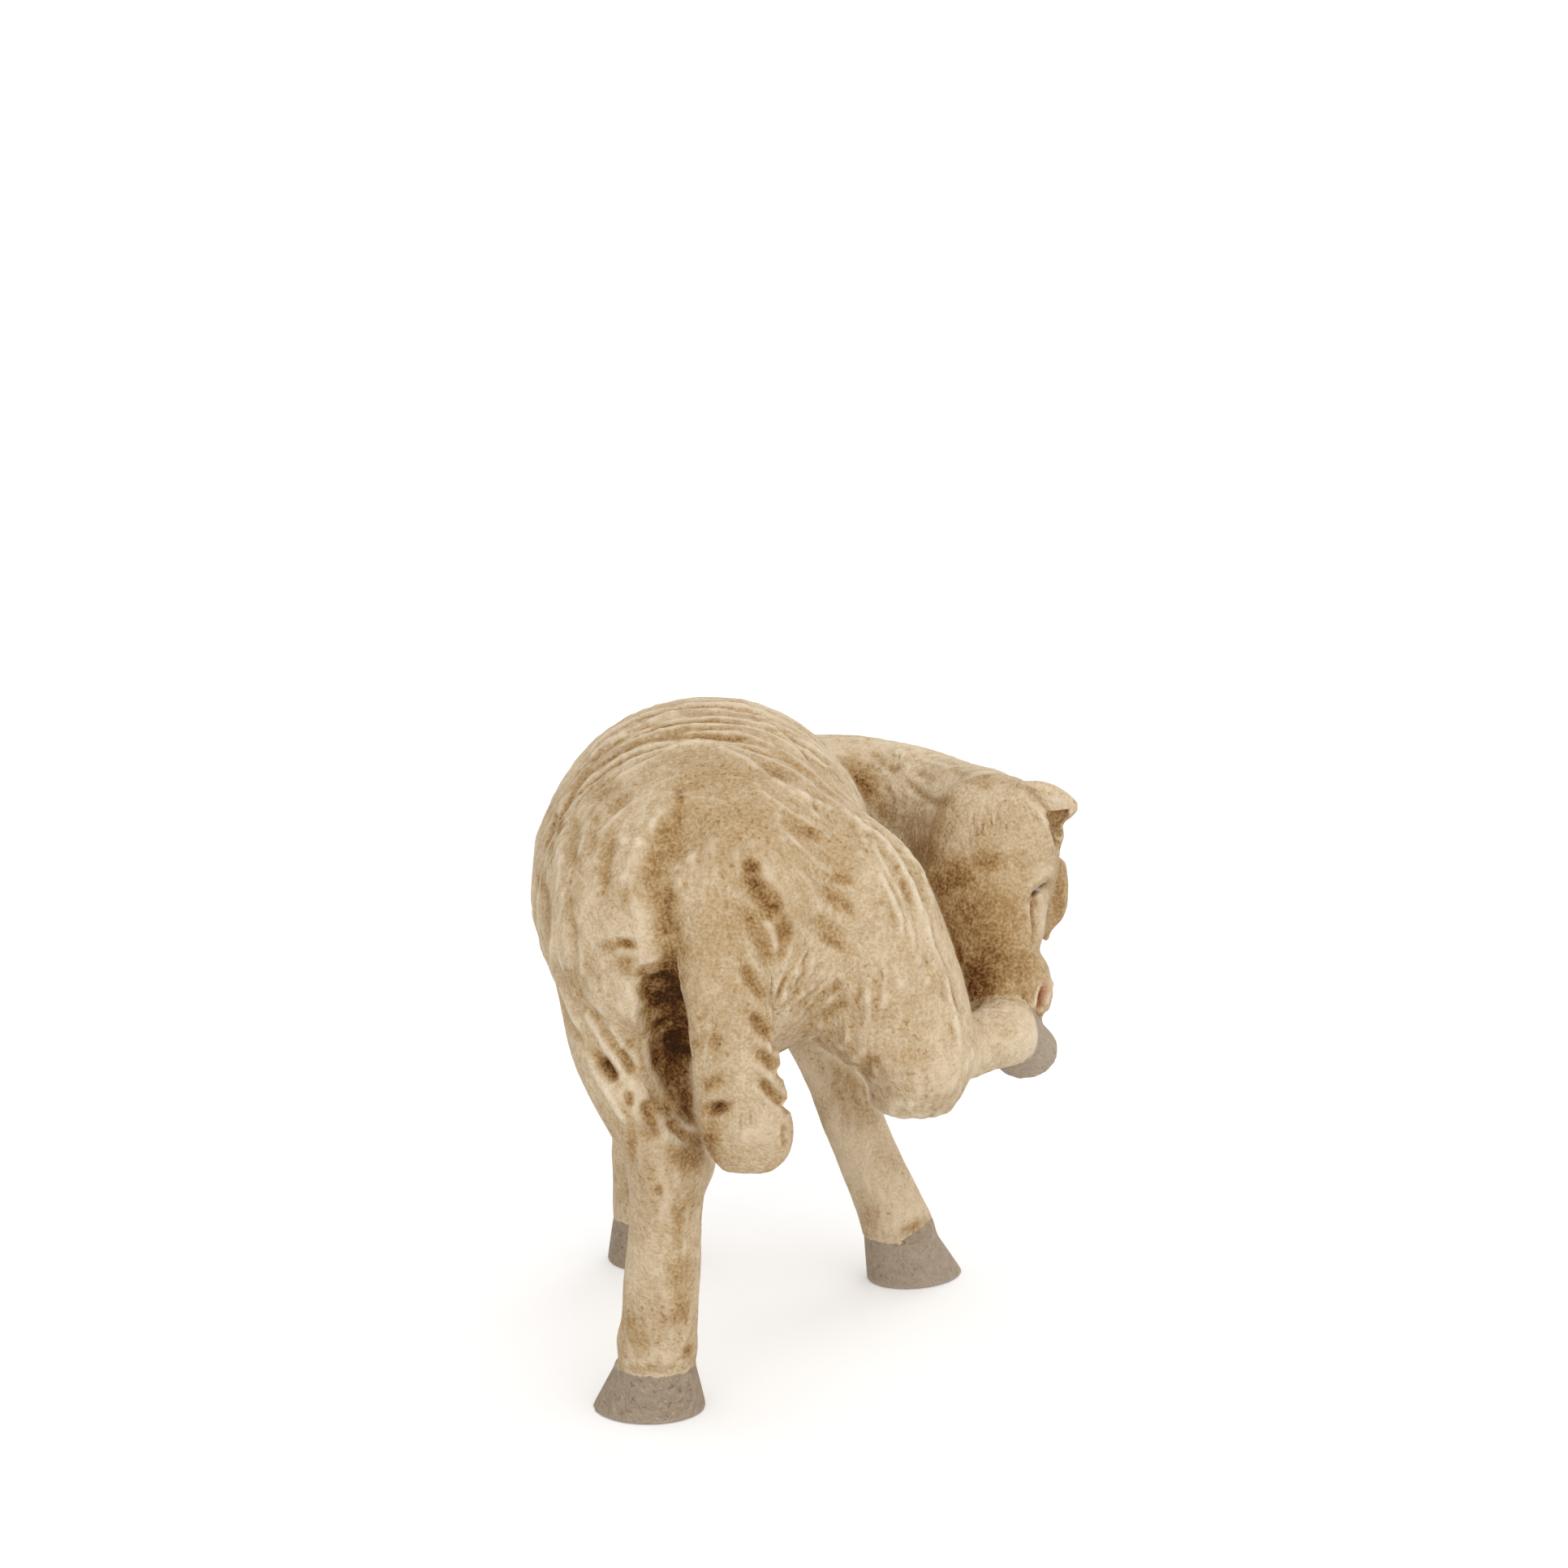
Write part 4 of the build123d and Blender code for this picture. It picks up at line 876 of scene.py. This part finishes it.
# patterns: noise scale and detail; lays: from low, from high, to low, to high
patterns = {"blotch": (170, 4), "grain": (2500, 2), "mottle": (950, 4), "specks": (1500, 1),
            "hair": (1300, 2)}
hairComb = (1, 1, 0.28)
lays = {"brushed": (0.40, 0.58, 0.15, 1.0), "grainSwing": (0.30, 0.70, -0.8, 0.8),
        "mottleSwing": (0.30, 0.70, -0.35, 0.35), "swingReach": (0.0, 0.6, 0.07, 0.24),
        "blotchStain": (0.35, 0.65, 0.03, 0.10), "hairStain": (0.32, 0.68, 0.04, -0.03),
        "speckStain": (0.60, 0.74, 0.0, 0.28), "speckPlace": (0.42, 0.6, 0.0, 1.0),
        "dustGrain": (0.30, 0.6, 0.35, 1.0), "hoofMottle": (0.35, 0.7, 0.0, 1.0),
        "hoofPits": (0.60, 0.72, 0.0, 0.6), "hoofGrain": (0.60, 0.72, 0.0, 0.5),
        "hoofRagged": (0.3, 0.7, -0.10, 0.10), "hoofEdge": (0.44, 0.56, 0.0, 1.0)}


def addNode(tree, kind, values=None, **settings):
    made = tree.nodes.new(kind)
    for key, value in settings.items():
        setattr(made, key, value)
    for key, value in (values or {}).items():
        if hasattr(value, "links") and hasattr(value, "is_output"):
            tree.links.new(value, made.inputs[key])
        else:
            made.inputs[key].default_value = value
    return made


def mixColour(tree, factor, first, second):
    return addNode(tree, "ShaderNodeMix", {0: factor, 6: first, 7: second}, data_type="RGBA").outputs[2]


def ramp(tree, value, low, high, toLow, toHigh):
    return addNode(tree, "ShaderNodeMapRange", {0: value, 1: low, 2: high, 3: toLow, 4: toHigh},
                   interpolation_type="SMOOTHSTEP").outputs[0]


def sums(tree, operation, *terms):
    total = terms[0]
    for term in terms[1:]:
        total = addNode(tree, "ShaderNodeMath", {0: total, 1: term}, operation=operation).outputs[0]
    return total


def noisePattern(tree, coords, scale, detail):
    values = {"Vector": coords, "Scale": scale, "Detail": detail}
    return addNode(tree, "ShaderNodeTexNoise", values).outputs["Fac"]


def attribute(tree, name, output):
    return addNode(tree, "ShaderNodeAttribute", attribute_name=name).outputs[output]


# the deepest, near black end of these levels is painted shade
def washAndShadeColour(tree, made):  # cream that goes through browns as the wash gets deeper
    swing = sums(tree, "ADD", ramp(tree, made["grain"], *lays["grainSwing"]),
                 ramp(tree, made["mottle"], *lays["mottleSwing"]))
    reach = ramp(tree, made["washAndShade"], *lays["swingReach"])
    hairs = sums(tree, "MULTIPLY", made["brushed"], ramp(tree, made["hair"], *lays["hairStain"]))
    flecks = sums(tree, "MULTIPLY", ramp(tree, made["specks"], *lays["speckStain"]),
                  ramp(tree, made["blotch"], *lays["speckPlace"]))
    level = sums(tree, "ADD", made["washAndShade"], sums(tree, "MULTIPLY", swing, reach),
                 ramp(tree, made["blotch"], *lays["blotchStain"]), hairs, flecks)
    depth = sums(tree, "DIVIDE", level, paintValues["fullLevel"])
    scale = addNode(tree, "ShaderNodeValToRGB", {"Fac": depth})
    stops = scale.color_ramp.elements
    stops[0].position, stops[0].color = paintValues["levels"][0]
    stops[1].position, stops[1].color = paintValues["levels"][-1]
    for at, tone in paintValues["levels"][1:-1]:
        stops.new(at).color = tone
    pale = sums(tree, "MULTIPLY", made["dustAndHighlight"], ramp(tree, made["grain"], *lays["dustGrain"]))
    return mixColour(tree, pale, scale.outputs["Color"], paintValues["dustAndHighlight"])


def hoofColour(tree, made):
    colour = mixColour(tree, ramp(tree, made["mottle"], *lays["hoofMottle"]), paintValues["hoof"],
                       paintValues["hoofDark"])
    colour = mixColour(tree, ramp(tree, made["specks"], *lays["hoofPits"]), colour, paintValues["hoofPit"])
    colour = mixColour(tree, ramp(tree, made["grain"], *lays["hoofGrain"]), colour, paintValues["hoofPale"])
    return mixColour(tree, made["dustAndHighlight"], colour, paintValues["hoofPale"])


def handPaint(name):
    mat = bpy.data.materials.new(name)
    mat.use_nodes = True
    tree = mat.node_tree
    shader = tree.nodes["Principled BSDF"]
    coords = addNode(tree, "ShaderNodeTexCoord").outputs["Object"]
    combed = addNode(tree, "ShaderNodeMapping", {"Vector": coords, "Scale": hairComb}).outputs["Vector"]
    made = {key: noisePattern(tree, combed if key == "hair" else coords, *patterns[key])
            for key in patterns}
    made.update({key: attribute(tree, key, "Fac") for key in ("washAndShade", "dustAndHighlight", "hoofPaint")})
    made["brushed"] = ramp(tree, made["blotch"], *lays["brushed"])
    edge = sums(tree, "ADD", made["hoofPaint"], ramp(tree, made["mottle"], *lays["hoofRagged"]))
    onHoof = ramp(tree, edge, *lays["hoofEdge"])
    colour = mixColour(tree, onHoof, washAndShadeColour(tree, made), hoofColour(tree, made))
    dabs = addNode(tree, "ShaderNodeSeparateXYZ", {0: attribute(tree, "faceTint", "Vector")}).outputs
    for dab, tone in zip(dabs, ("pink", "eye", "paintedGlint")):
        colour = mixColour(tree, dab, colour, paintValues[tone])
    tree.links.new(colour, shader.inputs["Base Color"])
    shader.inputs["Roughness"].default_value = paintValues["roughness"]
    shader.inputs["Specular IOR Level"].default_value = paintValues["shine"]
    hairs = sums(tree, "MULTIPLY", made["hair"], paintValues["hairBump"], made["brushed"])
    grains = sums(tree, "MULTIPLY", made["grain"], paintValues["grainBump"])
    height = sums(tree, "ADD", grains, made["mottle"], hairs)
    bump = addNode(tree, "ShaderNodeBump", {"Strength": paintValues["bump"], "Height": height,
                                            "Distance": paintValues["bumpDepth"]})
    tree.links.new(bump.outputs["Normal"], shader.inputs["Normal"])
    return mat


# plain drawn wire for the hidden wires and pins
wireValues = {"scale": 900, "detail": 3, "dark": (0.5, 0.5, 0.5, 1), "light": (0.62, 0.61, 0.6, 1),
              "roughness": (0.2, 0.8, 0.3, 0.45)}


def steelFinish():
    mat = bpy.data.materials.new("pinSteel")
    mat.use_nodes = True
    tree = mat.node_tree
    shader = tree.nodes["Principled BSDF"]
    coords = addNode(tree, "ShaderNodeTexCoord").outputs["Object"]
    drawn = noisePattern(tree, coords, wireValues["scale"], wireValues["detail"])
    colour = mixColour(tree, drawn, wireValues["dark"], wireValues["light"])
    tree.links.new(colour, shader.inputs["Base Color"])
    tree.links.new(ramp(tree, drawn, *wireValues["roughness"]), shader.inputs["Roughness"])
    shader.inputs["Metallic"].default_value = 1
    return mat


creamPaint = handPaint("creamPaint")
hoofMaterial = handPaint("hoofPaint")


# part the skin into the castings; each cut is closed inside with a fan
def skinFaces():
    mesh = skin.data
    starts = np.empty(len(mesh.polygons), dtype=np.int64)
    mesh.polygons.foreach_get("loop_start", starts)
    totals = np.empty(len(mesh.polygons), dtype=np.int64)
    mesh.polygons.foreach_get("loop_total", totals)
    corners = np.empty(len(mesh.loops), dtype=np.int64)
    mesh.loops.foreach_get("vertex_index", corners)
    faceOwner = np.argmin(np.add.reduceat(away[:, corners], starts, axis=1) / totals, axis=0)
    faces = [corners[a:a + n].tolist() for a, n in zip(starts, totals)]
    return faces, faceOwner


def cutRings(faces):
    edges = {(a, b): True for f in faces for a, b in zip(f, f[1:] + f[:1])}
    rims = {}
    for a, b in edges:
        if (b, a) not in edges:
            rims.setdefault(b, []).append(a)
    rings = []
    while rims:
        first = next(iter(rims))
        ring, here = [], first
        while True:
            ring.append(here)
            there = rims[here].pop()
            if not rims[here]:
                del rims[here]
            here = there
            if here == first:
                break
        rings.append(ring)
    return rings


def closeCuts(points, source, faces):
    caps = []
    for ring in cutRings(faces):
        points.append(np.mean([points[i] for i in ring], axis=0).tolist())
        source.append(source[ring[0]])
        caps += [[a, b, len(points) - 1] for a, b in zip(ring, ring[1:] + ring[:1])]
    return caps


def shadeSmooth(mesh, faces, caps, used):
    mesh.polygons.foreach_set("use_smooth", np.ones(len(faces) + len(caps), dtype=bool))
    skinNormals = normal[used][np.concatenate([np.array(f) for f in faces])]
    capNormals = [np.tile(np.array(mesh.polygons[len(faces) + k].normal), (3, 1)) for k in range(len(caps))]
    mesh.normals_split_custom_set(np.concatenate([skinNormals] + capNormals).tolist())


layers = {"washAndShade": np.clip(washAndShade, 0, paintValues["fullLevel"]), "dustAndHighlight": np.clip(dustAndHighlight, 0, 1),
          "hoofPaint": hoofPaint}


def makeCast(name, wholeFaces):
    used = np.unique(np.concatenate([np.array(f) for f in wholeFaces]))
    renumber = {int(v): i for i, v in enumerate(used)}
    faces = [[renumber[v] for v in f] for f in wholeFaces]
    points = place[used].tolist()
    source = used.tolist()
    caps = closeCuts(points, source, faces)
    mesh = bpy.data.meshes.new(name + "Cast")
    mesh.from_pydata(points, [], faces + caps)
    mesh.update()
    for key, values in layers.items():
        layer = mesh.attributes.new(key, "FLOAT", "POINT")
        layer.data.foreach_set("value", values[source].astype(np.float32))
    dabs = mesh.attributes.new("faceTint", "FLOAT_VECTOR", "POINT")
    dabs.data.foreach_set("vector", tint[source].astype(np.float32).ravel())
    shadeSmooth(mesh, faces, caps, used)
    piece = bpy.data.objects.new(name + "Cast", mesh)
    bpy.context.scene.collection.objects.link(piece)
    hoof = name in hoofNodes
    mesh.materials.append(hoofMaterial if hoof else creamPaint)
    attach(piece, "root")
    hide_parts(name)
    print("stage: piece", name, len(faces), "faces,", len(caps), "cap faces")


allFaces, faceOwner = skinFaces()
for row, name in enumerate(allNodes):
    makeCast(name, [allFaces[f] for f in np.nonzero(faceOwner == row)[0]])
bpy.data.objects.remove(skin)

steel = steelFinish()
for name in steelNodes:
    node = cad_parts[name]
    node.data.materials.clear()
    node.data.materials.append(steel)
print("stage: wires and pins")
